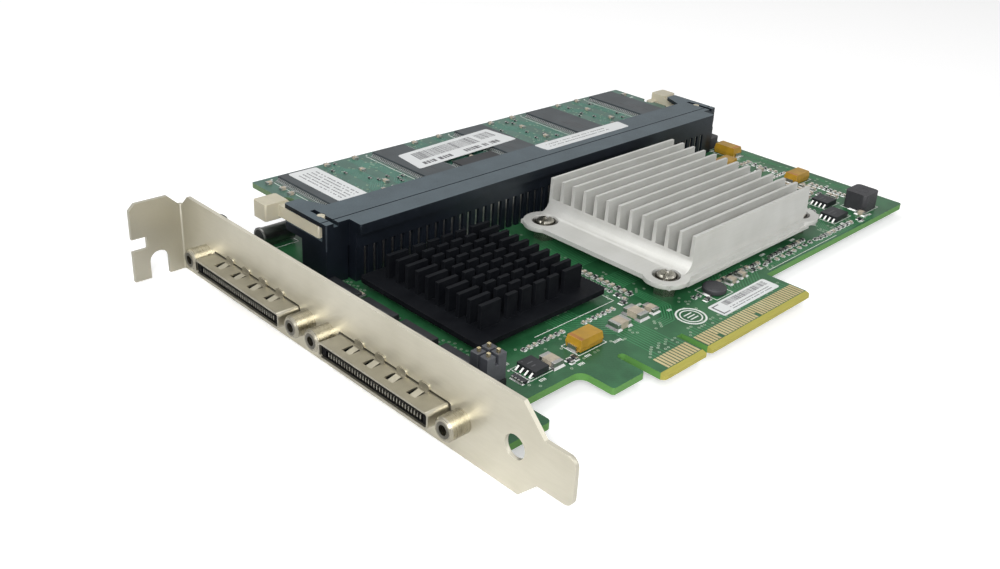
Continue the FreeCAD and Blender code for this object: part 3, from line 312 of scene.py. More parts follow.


# Bright edges are partly wear and partly a painted highlight along every sharp edge.
def edge_highlight_effect():
    """1 on sharp outer edges, from how far a rounded normal leans away from the face's own."""
    g, given, result = effect("edge_wear_and_highlight",
                              [("Radius mm", "Float", 0.15), ("Gain", "Float", 6.0)], ["Edge"])
    radius = g.maths("MULTIPLY", given["Radius mm"], MM)
    rounded = g.node("Bevel", {"Radius": radius}, samples=4).outputs["Normal"]
    face = g.node("NewGeometry").outputs["True Normal"]
    alike = g.node("VectorMath", {0: rounded, 1: face}, operation="DOT_PRODUCT").outputs["Value"]
    lean = g.maths("SUBTRACT", 1.0, alike)
    g.put(result["Edge"], g.maths("MULTIPLY", lean, given["Gain"], clamp=True))
    return g.tree


BLOTCHES = blotch_effect()
DRAWN = drawn_effect()
EDGE_HIGHLIGHTS = edge_highlight_effect()
print("effects:", [t.name for t in (BLOTCHES, DRAWN, EDGE_HIGHLIGHTS)])

# %% [markdown]
# ## Solder mask, laminate and copper
# A circuit board is glass cloth in resin, green only where solder mask covers it. Copper under the
# mask lifts and lightens it. Where the fingers' edge is bevelled, the mask is ground away and the
# bare laminate shows yellow. One finish does all of this from the place and the side of each point.

# %% Board finishes
def mask_finish(name, bare, over_copper, edge, bevel_to=None, specular=0.32):
    f = Finish(name, Specular_IOR_Level=specular, Coat_Weight=0.08, Coat_Roughness=0.12)
    mottle = f.group(BLOTCHES, Patch_mm=9.0, Grain_mm=0.35)
    green = f.blend(f.span(mottle["Patches"], 0.0, 1.0, 0.42, 0.58), bare, over_copper)
    speck = f.span(mottle["Grain"], 0.86, 1.1, 0.3, 0.7)
    green = f.blend(f.maths("SUBTRACT", speck, 0.86), green, scaled(over_copper, 1.35))
    side = f.maths("LESS_THAN", f.maths("ABSOLUTE", f.face_z()), 0.35)
    colour = f.blend(side, green, edge)
    rough = f.span(side, 0.34, 0.62)
    if bevel_to is not None:
        ground = f.maths("LESS_THAN", f.place_y(), bevel_to)
        streak = f.group(DRAWN, Stretch=(0.02, 1.0, 1.0), Line_mm=0.12)["Lines"]
        laminate = f.blend(streak, (0.30, 0.27, 0.045), (0.46, 0.42, 0.10))
        colour = f.blend(ground, colour, laminate)
        rough = f.maths("ADD", rough, f.maths("MULTIPLY", ground, 0.25))
    threads = {"Scale": 640.0, "Distortion": 0.4, "Vector": f.here()}
    weave = f.node("TexWave", threads, bands_direction="DIAGONAL")
    f.set("Base Color", colour)
    f.set("Roughness", rough)
    f.bump(f.maths("MULTIPLY", weave.outputs["Fac"], mottle["Grain"]), 0.012, 0.5)
    return f.material


def thin_layer(name, low, high, rough, patch, grain, by="Patches", worn=None, depth=0.01, strength=0.4,
               specular=0.5):
    """Ink, paper or mask over a track: two tones that follow the patches or the grain."""
    f = Finish(name, Roughness=rough, Specular_IOR_Level=specular)
    cloud = f.group(BLOTCHES, Patch_mm=patch, Grain_mm=grain)
    mask = f.span(cloud[by], *worn) if worn else cloud[by]
    f.set("Base Color", f.blend(mask, low, high))
    f.bump(cloud["Grain"], depth, strength)
    return f.material


def track_finish(name, colour):
    return thin_layer(name, colour, scaled(colour, 1.4), 0.32, patch=5.0, grain=0.2, specular=0.4)


FINGER_BEVEL = on_card(0, 1.32, 0).y
BOARD_GREEN = mask_finish("board_solder_mask", (0.014, 0.080, 0.030), (0.026, 0.124, 0.048),
                          (0.10, 0.26, 0.06), bevel_to=FINGER_BEVEL)
MODULE_GREEN = mask_finish("module_solder_mask", (0.030, 0.095, 0.070), (0.050, 0.135, 0.100),
                           (0.12, 0.20, 0.09), specular=0.6)
TRACK_GREEN = track_finish("mask_over_tracks", (0.036, 0.165, 0.068))
MODULE_TRACK = track_finish("mask_over_module_tracks", (0.066, 0.185, 0.140))
WHITE_PRINT = thin_layer("white_print", (0.34, 0.42, 0.36), (0.78, 0.80, 0.76), 0.6, patch=1.6, grain=0.15,
                         by="Grain", worn=(0.35, 1.0, 0.25, 0.55), strength=0.5)
LABEL_PAPER = thin_layer("label_paper", (0.66, 0.675, 0.675), (0.77, 0.785, 0.785), 0.55, patch=6.0,
                         grain=0.12)
LABEL_INK = thin_layer("grey_ink", (0.05, 0.05, 0.055), (0.20, 0.20, 0.21), 0.5, patch=2.0, grain=0.10,
                       by="Grain", depth=0.004, strength=0.3)
print("board finishes:", BOARD_GREEN.name, "and", MODULE_GREEN.name)

# %% [markdown]
# ## Metals
# Plate, tin and gold are full or nearly full metals, and what tells them apart is tint and grain.
# Plate on a stamped bracket is cloudy with a fine orange-peel, and turned posts carry rings. Extruded
# fins are matt with long lines, so they are set mostly as a plain grey, and black anodised fins have
# no metal in them at all. Edges are brighter, partly from polish by handling and partly as painted
# highlight, and the bracket's tab carries painted shade.

# %% Metal finishes
def metal(name, dark, light, rough, patch=6.0, grain=0.25, stretch=(1, 1, 1), line=0.25, depth=0.01, edge=0.5,
          metallic=1.0, specular=0.5, shade_from=None):
    f = Finish(name, Metallic=metallic, Specular_IOR_Level=specular)
    cloud = f.group(BLOTCHES, Patch_mm=patch, Grain_mm=grain)
    lines = f.group(DRAWN, Stretch=stretch, Line_mm=line)["Lines"]
    tone = f.maths("ADD", f.maths("MULTIPLY", cloud["Patches"], 0.6), f.maths("MULTIPLY", lines, 0.4))
    colour = f.blend(f.span(tone, 0.0, 1.0, 0.35, 0.65), dark, light)
    # Painted shade: the plate's colour darkens towards the bracket's tab.
    if shade_from:
        low, high = (on_card(0, y, 0).y for y in shade_from)
        colour = f.blend(f.span(f.place_y(), 0.0, 0.45, low, high), colour, scaled(dark, 0.45))
    # Edges take a lighter colour: partly polish from handling, partly painted highlight.
    bright = f.group(EDGE_HIGHLIGHTS, Radius_mm=0.12)["Edge"]
    polished_and_highlit = tuple(min(1.0, c * 1.18 + 0.004) for c in light)
    f.set("Base Color", f.blend(f.maths("MULTIPLY", bright, edge), colour, polished_and_highlit))
    wear = f.span(lines, rough - 0.05, rough + 0.10, 0.3, 0.7)
    f.set("Roughness", f.maths("SUBTRACT", wear, f.maths("MULTIPLY", bright, 0.1)))
    f.bump(f.maths("ADD", lines, f.maths("MULTIPLY", cloud["Grain"], 0.5)), depth, 0.6)
    return f.material


# Where along Y the painted shade on the bracket's tab starts and reaches its full depth.
TAB_SHADE = (96, 105.5)
BRACKET_PLATE = metal("tin_plated_sheet", (0.60, 0.57, 0.47), (0.70, 0.67, 0.57), 0.42, patch=14, grain=0.4,
                      stretch=(1, 0.12, 1), line=0.5, depth=0.012, metallic=0.9, shade_from=TAB_SHADE)
SHELL_PLATE = metal("nickel_plated_shell", (0.34, 0.32, 0.26), (0.46, 0.435, 0.36), 0.34, patch=5, line=0.2,
                    metallic=0.95)
POST_METAL = metal("turned_posts", (0.31, 0.29, 0.23), (0.47, 0.44, 0.36), 0.27, patch=3,
                   stretch=(1, 0.05, 0.05), line=0.12)
POST_SHADE = metal("post_countersink_shade", (0.10, 0.095, 0.08), (0.22, 0.21, 0.18), 0.4, patch=2, line=0.12)
GOLD = metal("gold_fingers", (0.66, 0.53, 0.28), (0.80, 0.69, 0.42), 0.30, patch=6, stretch=(1, 0.05, 1),
             line=0.1, edge=0.2, metallic=0.95)
CONTACT = metal("gold_contacts", (0.60, 0.50, 0.28), (0.78, 0.68, 0.45), 0.28, patch=2, line=0.15)
# The contacts inside the port mouths are painted near-black: painted shade over their plating.
PORT_CONTACT_SHADE = metal("port_contacts_in_shade", (0.09, 0.085, 0.07), (0.17, 0.16, 0.13), 0.34, patch=2, line=0.15)
CONTACT_TIPS = metal("contact_tips", (0.46, 0.445, 0.39), (0.62, 0.60, 0.53), 0.32, patch=2, line=0.12)
TIN = metal("tinned_ends", (0.40, 0.40, 0.385), (0.56, 0.56, 0.54), 0.34, patch=1.2, grain=0.12, line=0.15)
LEAD_GREY = metal("formed_leads", (0.40, 0.42, 0.415), (0.54, 0.56, 0.555), 0.42, patch=1.2, grain=0.12,
                  line=0.15, metallic=0.8)
SOLDER = metal("reflowed_solder", (0.34, 0.345, 0.335), (0.50, 0.505, 0.495), 0.30, patch=1.0, grain=0.15,
               line=0.3)
HOLE_RIM = metal("tinned_hole_rims", (0.20, 0.34, 0.22), (0.42, 0.52, 0.40), 0.34, patch=3.0, edge=0.2,
                 metallic=0.5)
CAN_METAL = metal("drawn_can", (0.20, 0.20, 0.19), (0.34, 0.34, 0.33), 0.34, patch=3, stretch=(0.1, 1, 1),
                  line=0.15)
SCREW_METAL = metal("plated_screws", (0.27, 0.26, 0.22), (0.44, 0.42, 0.37), 0.26, patch=2, line=0.15)
SPRING_STEEL = metal("spring_steel", (0.12, 0.115, 0.10), (0.24, 0.23, 0.21), 0.3, patch=2, line=0.12)
SILVER_FINS = metal("extruded_aluminium", (0.53, 0.53, 0.50), (0.61, 0.61, 0.585), 0.48, patch=7, grain=0.3,
                    stretch=(0.03, 1, 1), line=0.35, depth=0.02, metallic=0.30, edge=0.2, specular=0.35)
# The strong edge gain paints highlights along the black pins' edges.
BLACK_FINS = metal("black_anodised", (0.0035, 0.004, 0.0055), (0.008, 0.009, 0.011), 0.50, patch=4, grain=0.2,
                   stretch=(0.1, 1, 1), line=0.2, metallic=0.0, edge=1.8, specular=0.06)
print("metals:", BRACKET_PLATE.name, "to", BLACK_FINS.name)

# %% [markdown]
# ## Plastics and ceramics
# Moulded plastic has a fine spark-eroded texture that scatters light, and its colour wanders a
# little. Edges turn pale, partly from handling and partly as painted highlight, and faces that look
# up can get a pale bluish painted sheen. The same recipe serves the socket, levers, chips and blocks,
# with its own tint, gloss and grain size.

# %% Plastic finishes
def moulded(name, colour, rough, grain=0.18, depth=0.012, vary=0.25, edge=0.25, edge_highlight_tint=None, patch=5.0,
            glow=0.0, specular=0.5, sheen_tint=(1.0, 1.0, 1.0), top_sheen=None):
    f = Finish(name, Specular_IOR_Level=specular, Specular_Tint=sheen_tint)
    if glow:
        f.set("Subsurface Weight", glow)
        f.set("Subsurface Radius", (0.0012, 0.0009, 0.0006))
        f.set("Subsurface Scale", 1.0)
    cloud = f.group(BLOTCHES, Patch_mm=patch, Grain_mm=grain)
    wander = f.span(cloud["Patches"], 0.0, 1.0, 0.35, 0.65)
    body = f.blend(wander, scaled(colour, 1 - vary), scaled(colour, 1 + vary))
    rubbed_and_highlit = edge_highlight_tint or tuple(min(1.0, c * 2.2 + 0.012) for c in colour)
    # Edges take a paler colour: partly rubbing from handling, partly painted highlight.
    bright = f.group(EDGE_HIGHLIGHTS, Radius_mm=0.14)["Edge"]
    # Faces that look up are lightened towards a bluish grey in patches: a painted sheen.
    if top_sheen:
        upward = f.span(f.face_z(), 0.0, 1.0, 0.7, 0.98)
        uneven = f.span(cloud["Patches"], 0.75, 1.0, 0.3, 0.7)
        body = f.blend(f.maths("MULTIPLY", upward, uneven), body, top_sheen)
    f.set("Base Color", f.blend(f.maths("MULTIPLY", bright, edge), body, rubbed_and_highlit))
    f.set("Roughness", f.span(cloud["Grain"], rough - 0.07, rough + 0.09, 0.3, 0.7))
    f.bump(cloud["Grain"], depth, 0.7)
    return f.material


# The socket's upward faces carry the painted bluish sheen.
SOCKET_BLACK = moulded("socket_moulding", (0.0045, 0.006, 0.010), 0.40, grain=0.22, edge=0.5, specular=0.55,
                       sheen_tint=(0.74, 0.90, 1.0), top_sheen=(0.066, 0.090, 0.104))
PORT_BLACK = moulded("port_moulding", (0.003, 0.003, 0.0035), 0.5, specular=0.06)
CHIP_BLACK = moulded("chip_moulding", (0.018, 0.019, 0.022), 0.42, grain=0.10, depth=0.008, edge=0.35,
                     specular=0.35)
MEMORY_BLACK = moulded("memory_chip_moulding", (0.030, 0.036, 0.040), 0.40, grain=0.10, depth=0.008, edge=0.5,
                       specular=0.7, sheen_tint=(0.85, 0.96, 1.0))
PROCESSOR = moulded("processor_package", (0.045, 0.060, 0.045), 0.5)
IVORY = moulded("ivory_levers", (0.54, 0.50, 0.385), 0.42, grain=0.25, vary=0.05, edge=0.3,
                edge_highlight_tint=(0.82, 0.79, 0.68), glow=0.15)
CERAMIC = moulded("fired_ceramic", (0.42, 0.365, 0.285), 0.50, grain=0.15, vary=0.12,
                  edge_highlight_tint=(0.55, 0.47, 0.36), patch=1.5)
TANTALUM = moulded("tantalum_moulding", (0.40, 0.225, 0.017), 0.36, grain=0.2, vary=0.14,
                   edge_highlight_tint=(0.62, 0.40, 0.07), patch=2.5)
RESISTOR_GLAZE = moulded("resistor_glaze", (0.020, 0.022, 0.026), 0.22, grain=0.2, vary=0.2)
# The same black also paints the shade in the wells round the heat sink's screws.
HEADER_BLACK_AND_SHADE = moulded("header_moulding_and_shade", (0.009, 0.009, 0.010), 0.42, specular=0.35)
SHUNT_GREY = moulded("shunt_moulding", (0.050, 0.053, 0.062), 0.40, grain=0.2, edge_highlight_tint=(0.2, 0.2, 0.21))
FERRITE = moulded("pressed_ferrite", (0.030, 0.030, 0.034), 0.55, grain=0.25, depth=0.03, vary=0.2,
                  edge_highlight_tint=(0.10, 0.10, 0.10))
BUZZER_BLACK = moulded("buzzer_moulding", (0.014, 0.014, 0.015), 0.40)
THERMAL = moulded("thermal_pad", (0.42, 0.43, 0.42), 0.75, grain=0.3, depth=0.02)
HOLE_DARK = moulded("hole_shade", (0.010, 0.030, 0.018), 0.6, edge=0.0)
MARK_INK = moulded("laser_mark", (0.075, 0.078, 0.082), 0.55, edge=0.0)
BAND_BROWN = moulded("band_print", (0.36, 0.15, 0.03), 0.45, vary=0.2, edge=0.0)
print("materials:", len(bpy.data.materials))

# %% [markdown]
# ## Dressing the imported solids
# Each imported solid keeps its shape and takes one finish. Real sheet, plastic and metal never have
# knife edges, so a small bevel is laid over most solids as a modifier, which leaves the solid itself
# alone and catches the light along its corners.

# %% Finishes and softened edges for the imported solids
# node: finish, bevel in millimetres
DRESS = {
    "circuit_board": (BOARD_GREEN, 0.0), "memory_module_board": (MODULE_GREEN, 0.0),
    "edge_contacts_component_side": (GOLD, 0.0), "edge_contacts_solder_side": (GOLD, 0.0),
    "mounting_bracket": (BRACKET_PLATE, 0.10), "jack_posts": (POST_METAL, 0.0),
    "port_a_shell": (SHELL_PLATE, 0.05), "port_b_shell": (SHELL_PLATE, 0.05),
    "port_a_insulator": (PORT_BLACK, 0.0), "port_b_insulator": (PORT_BLACK, 0.0),
    "port_a_contacts": (PORT_CONTACT_SHADE, 0.0), "port_b_contacts": (PORT_CONTACT_SHADE, 0.0),
    "memory_socket": (SOCKET_BLACK, 0.12), "memory_socket_tails": (TIN, 0.0),
    "ejector_lever_left": (IVORY, 0.18), "ejector_lever_right": (IVORY, 0.18),
    "memory_chips": (MEMORY_BLACK, 0.05), "memory_chip_leads": (TIN, 0.0),
    "memory_capacitors": (CERAMIC, 0.08), "pin_heat_sink": (BLACK_FINS, 0.10),
    "bus_controller_chip": (CHIP_BLACK, 0.0), "bus_controller_pad": (THERMAL, 0.0),
    "fin_heat_sink": (SILVER_FINS, 0.09), "heat_sink_screws": (SCREW_METAL, 0.06),
    "processor_chip": (PROCESSOR, 0.0), "processor_pad": (THERMAL, 0.0),
    "tantalum_capacitors": (TANTALUM, 0.12), "tantalum_tabs": (TIN, 0.0),
    "ceramic_capacitors": (CERAMIC, 0.0), "ceramic_capacitor_ends": (TIN, 0.07),
    "resistors": (RESISTOR_GLAZE, 0.0), "resistor_ends": (TIN, 0.05),
    "small_ics": (CHIP_BLACK, 0.06), "small_ic_leads": (TIN, 0.0),
    "jumper_header": (HEADER_BLACK_AND_SHADE, 0.08), "jumper_pins": (CONTACT, 0.08),
    "jumper_shunts": (SHUNT_GREY, 0.12),
    "round_inductor": (FERRITE, 0.05), "power_inductors": (FERRITE, 0.2), "crystal_can": (CAN_METAL, 0.2),
    "buzzer": (BUZZER_BLACK, 0.1), "solder_joints": (SOLDER, 0.12),
}


def soften(solid, width_mm):
    """Joins split corners, then rounds every sharp edge by a little."""
    weld = solid.modifiers.new("join_corners", "WELD")
    weld.merge_threshold = 0.002 * MM
    bevel = solid.modifiers.new("soft_edges", "BEVEL")
    bevel.width = width_mm * MM
    bevel.segments = 2
    bevel.limit_method = "ANGLE"
    bevel.angle_limit = math.radians(35)
    bevel.harden_normals = True


for node, (finish, width) in DRESS.items():
    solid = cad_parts[node]
    solid.data.materials.clear()
    solid.data.materials.append(finish)
    if width:
        soften(solid, width)
print("dressed:", len(DRESS), "left out:", sorted(set(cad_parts) - set(DRESS)))

# %% [markdown]
# ## A kit for small solids
# Tracks, print, solder and tiny parts are all closed solids of a few faces. One collector gathers
# many of them, in card millimetres, into one piece with one finish. Before it come small helpers that
# give the points of circles, rectangles and paths.

# %% Points round a circle, a rectangle and a path
def circle(sides):
    """Cosine and sine of evenly spaced turns."""
    return [(math.cos(2 * math.pi * k / sides), math.sin(2 * math.pi * k / sides)) for k in range(sides)]


def corners(x0, x1, y0, y1, z, inset=0.0):
    """The corners of a rectangle at one height, drawn in on all sides."""
    x0, x1, y0, y1 = x0 + inset, x1 - inset, y0 + inset, y1 - inset
    return [(x0, y0, z), (x1, y0, z), (x1, y1, z), (x0, y1, z)]


def centred(x, y, half_x, half_y):
    return x - half_x, x + half_x, y - half_y, y + half_y


def ends_of(x0, x1, y0, y1, deep, over=0.0):
    """The two end strips of a block, which lie across its longer side and may stand over its faces."""
    if y1 - y0 > x1 - x0:
        return ((x0 - over, x1 + over, y0 - over, y0 + deep), (x0 - over, x1 + over, y1 - deep, y1 + over))
    return ((x0 - over, x0 + deep, y0 - over, y1 + over), (x1 - deep, x1 + over, y0 - over, y1 + over))


def beside(path, offset):
    """The path that runs beside another at a constant distance, to its left when positive."""
    out = []
    for i, (x, y) in enumerate(path):
        before = Vector(path[i]) - Vector(path[i - 1]) if i > 0 else Vector(path[1]) - Vector(path[0])
        after = Vector(path[i + 1]) - Vector(path[i]) if i + 1 < len(path) else before
        n1 = Vector((-before.y, before.x)).normalized()
        n2 = Vector((-after.y, after.x)).normalized()
        way = n1 + n2
        reach = offset * 2 / max(way.length_squared, 0.6)
        out.append((x + way.x * reach, y + way.y * reach))
    return out


print("half a millimetre left of a bend:", [round(v, 2) for v in beside([(0, 0), (4, 0), (6, 2)], 0.5)[1]])

# %% [markdown]
# Every solid in the collector is skinned over a row of equal rings of points, so tracks, pillows,
# washers, wires and bent leads differ only in how they lay out their rings.

# %% Collector for small closed solids
class Shape:
    """Gathers closed solids, in the card's millimetres, for one piece."""

    def __init__(self):
        self.points = []
        self.faces = []

    def rings(self, rings, closed=False):
        """Skins a row of equal rings of points, and caps its ends unless it closes on itself."""
        first = len(self.points)
        size = len(rings[0])
        rows = len(rings)
        for ring in rings:
            self.points += ring
        for row in range(rows if closed else rows - 1):
            a = first + row * size
            b = first + (row + 1) % rows * size
            for i in range(size):
                j = (i + 1) % size
                self.faces.append((a + i, a + j, b + j, b + i))
        if not closed:
            last = first + (rows - 1) * size
            self.faces.append(tuple(range(first + size - 1, first - 1, -1)))
            self.faces.append(tuple(range(last, last + size)))

    def prism(self, outline, z0, z1):
        self.rings([[(x, y, z) for x, y in outline] for z in (z0, z1)])

    def block(self, x0, x1, y0, y1, z0, z1):
        self.rings([corners(x0, x1, y0, y1, z) for z in (z0, z1)])

    def heap(self, x0, x1, y0, y1, z0, z1, inset):
        """A block whose top is drawn in on all sides."""
        self.rings([corners(x0, x1, y0, y1, z0), corners(x0, x1, y0, y1, z1, inset)])

    def pillow(self, x0, x1, y0, y1, z0, z1, edge):
        """A block with its upper edges taken off."""
        self.rings([corners(x0, x1, y0, y1, z, i) for z, i in ((z0, 0.0), (z1 - edge, 0.0), (z1, edge))])

    def disc(self, x, y, radius, z0, z1, sides=14):
        self.prism([(x + radius * c, y + radius * s) for c, s in circle(sides)], z0, z1)

    def washer(self, x, y, inner, outer, z0, z1, sides=14):
        section = ((inner, z0), (outer, z0), (outer, z1), (inner, z1))
        self.rings([[(x + r * c, y + r * s, z) for r, z in section] for c, s in circle(sides)], closed=True)

    def ribbon(self, path, width, z0, z1):
        """A flat track along a path, with mitred bends."""
        left = beside(path, width / 2)
        right = beside(path, -width / 2)
        self.rings([[(*r, z0), (*l, z0), (*l, z1), (*r, z1)] for l, r in zip(left, right)])

    def frame(self, x0, x1, y0, y1, line, z0, z1):
        """A rectangle drawn with a line of that width."""
        rows = []
        for x, y, sx, sy in ((x0, y0, 1, 1), (x1, y0, -1, 1), (x1, y1, -1, -1), (x0, y1, 1, -1)):
            inner = (x + sx * line, y + sy * line)
            rows.append([(x, y, z0), (*inner, z0), (*inner, z1), (x, y, z1)])
        self.rings(rows, closed=True)

    def wire(self, path, radius, sides=6):
        """A round wire along a path of places in space."""
        rows = []
        for i, place in enumerate(path):
            ahead = (Vector(path[min(i + 1, len(path) - 1)]) - Vector(path[max(i - 1, 0)])).normalized()
            side = ahead.cross(Vector((0, 0, 1))).normalized()
            up = side.cross(ahead)
            rows.append([tuple(Vector(place) + radius * (c * side + s * up)) for c, s in circle(sides)])
        self.rings(rows)

    def lead(self, path, mid, half_width, thick):
        """A bent strip of sheet: path is (x, z) seen from the side, the width runs along Y."""
        upper = beside(path, thick / 2)
        lower = beside(path, -thick / 2)
        y0, y1 = mid - half_width, mid + half_width
        self.rings([[(u[0], y0, u[1]), (u[0], y1, u[1]), (l[0], y1, l[1]), (l[0], y0, l[1])]
                    for u, l in zip(upper, lower)])


sample = Shape()
sample.washer(0, 0, 1, 2, 0, 1)
print("faces of one washer:", len(sample.faces))

# %% [markdown]
# A collector becomes a piece in one step: a mesh with its faces turned outwards, one finish, and a
# ride on the body that it belongs to.

# %% From a collector to a piece
def piece(name, shape, finish, body="card"):
    """One mesh object from a collector, riding on a body."""
    mesh = bpy.data.meshes.new(name)
    mesh.from_pydata([on_card(*p) for p in shape.points], [], shape.faces)
    work = bmesh.new()
    work.from_mesh(mesh)
    bmesh.ops.recalc_face_normals(work, faces=work.faces)
    work.to_mesh(mesh)
    work.free()
    mesh.materials.append(finish)
    made = bpy.data.objects.new(name, mesh)
    bpy.context.scene.collection.objects.link(made)
    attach(made, body)
    return made


# %% [markdown]
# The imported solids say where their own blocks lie. A node's mesh is split into islands of joined
# points, each with its box, and the boxes on the board are the ground that is already taken.

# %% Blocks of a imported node, and the ground they take
GRID_PER_METRE = 50000      # points within 0.02 mm count as one


def islands(node):
    """The box (x0, x1, y0, y1, z0, z1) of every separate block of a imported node."""
    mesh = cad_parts[node].data
    number = {}
    ids = []
    for v in mesh.vertices:
        spot = tuple(round(c * GRID_PER_METRE) for c in v.co)
        ids.append(number.setdefault(spot, len(number)))
    parent = list(range(len(number)))

    def root(i):
        while parent[i] != i:
            parent[i] = parent[parent[i]]
            i = parent[i]
        return i

    for e in mesh.edges:
        a, b = root(ids[e.vertices[0]]), root(ids[e.vertices[1]])
        parent[a] = b
    boxes = {}
    for v, i in zip(mesh.vertices, ids):
        x, y, z = (v.co - CARD_ZERO) / MM
        b = boxes.setdefault(root(i), [x, x, y, y, z, z])
        boxes[root(i)] = [min(b[0], x), max(b[1], x), min(b[2], y), max(b[3], y), min(b[4], z), max(b[5], z)]
    return sorted(boxes.values())


ON_BOARD = ["tantalum_capacitors", "tantalum_tabs", "ceramic_capacitors", "ceramic_capacitor_ends",
            "resistors", "resistor_ends", "small_ics", "small_ic_leads", "jumper_header", "round_inductor",
            "power_inductors", "crystal_can", "buzzer"]
taken = [b[:4] for node in ON_BOARD for b in islands(node)]
for node in ("port_a_insulator", "port_b_insulator"):
    low, high = card_box(node)
    taken.append([low.x, high.x, low.y, high.y])
print("blocks on the board:", len(taken))

# %% [markdown]
# ## Bent leads
# Flat chips stand on rows of thin strips: out of the body's side, down, and flat on the pad, like a
# gull's wing. One function bends them for every chip that gets such leads.

# %% Gull-wing leads and the ground under their feet
def gull_wings(shape, chip, profile, count, pitch, half_width, thick):
    """Leads along both sides of a chip (x0, x1, y0, y1); the profile is (outwards, height).

    Gives back the side, the body's edge and the middle of each lead."""
    x0, x1, y0, y1 = chip
    places = []
    for side, edge in ((-1, x0), (1, x1)):
        path = [(edge + side * out, z) for out, z in profile]
        for k in range(count):
            y = (y0 + y1) / 2 + (k - (count - 1) / 2) * pitch
            shape.lead(path, y, half_width, thick)
            places.append((side, edge, y))
    return places


def foot(place, near, far, half_width):
    side, edge, y = place
    return (*sorted((edge + side * near, edge + side * far)), y - half_width, y + half_width)


print("ground under a lead's foot:", foot((1, 5.0, 0.0), 0.5, 1.0, 0.2))

# %% [markdown]
# ## Line chips behind the ports
# Cards of this kind can carry a row of low flat chips between the cable ports and the black heat
# sink. Their dark bodies also stand in for the shade on that stretch of board, so a plain body with
# two rows of leads is enough.

# %% Line chips
LINE_CHIPS = [(12.9, 17.1, y, y + 9.9) for y in (24.6, 36.9, 49.2, 61.5)]
LINE_SEAT, LINE_TOP = 0.12, 1.75
LINE_PROFILE = [(-0.1, 0.95), (0.25, 0.95), (0.45, 0.16), (1.0, 0.10)]
line_bodies, line_leads, line_feet = Shape(), Shape(), []
for chip in LINE_CHIPS:
    x0, x1, y0, y1 = chip
    taken.append([x0 - 1.2, x1 + 1.2, y0, y1])
    line_bodies.pillow(*chip, LINE_SEAT, LINE_TOP, 0.15)
    places = gull_wings(line_leads, chip, LINE_PROFILE, 14, 0.65, 0.14, 0.12)
    line_feet += [foot(place, 0.5, 1.1, 0.16) for place in places]
# Their dark bodies also stand in for the shade on this stretch of board.
piece("line_chip_bodies", line_bodies, CHIP_BLACK)
piece("line_chip_leads", line_leads, LEAD_GREY)
print("line chips:", len(LINE_CHIPS), "feet:", len(line_feet))

# %% [markdown]
# ## Copper
# The copper runs in bundles: parallel tracks that turn together by 45 degrees and end at plated
# holes. Each bundle is one path that is repeated beside itself, and the solder side has its own.
# From each edge finger a short track runs into the board.

# %% Tracks of the board
COPPER_T = 0.035
FAR_X = (board_high.x - CARD_ZERO.x) / MM
BACK = (board_low.z - board_high.z) / MM
BACK_COPPER = BACK - COPPER_T


def on_board(x, y):
    return 2.2 < x < FAR_X - 0.8 and 13.0 < y < 100.8 or 44.2 < x < 96.8 and 6.2 < y < 13.1


def clear_of(blocks, x, y, gap):
    return not any(x0 - gap < x < x1 + gap and y0 - gap < y < y1 + gap for x0, x1, y0, y1 in blocks)


def free(x, y, gap=0.35):
    return on_board(x, y) and clear_of(taken, x, y, gap)


def bundle(shape, ends, path, count, pitch, width, z0, z1, stagger):
    """Parallel tracks along one path; their ends are noted for plated holes."""
    for k in range(count):
        line = beside(path, (k - (count - 1) / 2) * pitch)
        for end, inner in ((0, 1), (-1, -2)):
            step = (Vector(line[inner]) - Vector(line[end])).normalized() * stagger * (k % 3)
            line[end] = (line[end][0] + step.x, line[end][1] + step.y)
            ends.append(line[end])
        shape.ribbon(line, width, z0, z1)


# path, tracks side by side, pitch
UPPER_BUNDLES = (
    ([(50, 46.8), (58, 46.8), (61, 49.8), (74, 49.8)], 24, 0.62),
    ([(50, 35), (57.5, 35), (60, 32.5), (74, 32.5)], 10, 0.62),
    ([(44, 31), (44, 26), (51.6, 18.4), (51.6, 7.6)], 10, 0.8),
    ([(92, 26), (92, 18.5), (86, 12.5), (86, 7.6)], 18, 0.75),
    ([(100, 13.6), (150, 13.6), (164.6, 28.2), (164.6, 99)], 4, 0.55),
    ([(122, 41), (133, 41), (139, 47), (139, 66)], 12, 0.6),
    ([(122, 28), (134, 28), (146, 40), (146, 66)], 6, 0.6),
    ([(8.8, 27.6), (12, 27.6), (15.4, 31), (20, 31)], 12, 1.2),
    ([(8.8, 73), (12, 73), (15.4, 69.6), (20, 69.6)], 14, 0.8),
    ([(36, 81), (36, 90), (43, 97), (43, 100.2)], 14, 0.7),
    ([(82, 81), (82, 88), (92, 98), (92, 100.2)], 12, 0.7),
    ([(128, 81), (128, 90), (136, 98), (136, 100.2)], 12, 0.7),
    ([(160.5, 56), (160.5, 60), (157.5, 63)], 5, 0.6),
    ([(131.5, 16), (137, 21.5), (137, 33), (133, 37)], 6, 0.55),
    ([(58, 13.8), (62, 13.8), (66, 17.8), (66, 27)], 5, 0.6),
    ([(156.5, 84), (161.6, 84), (161.6, 98)], 4, 0.6),
)
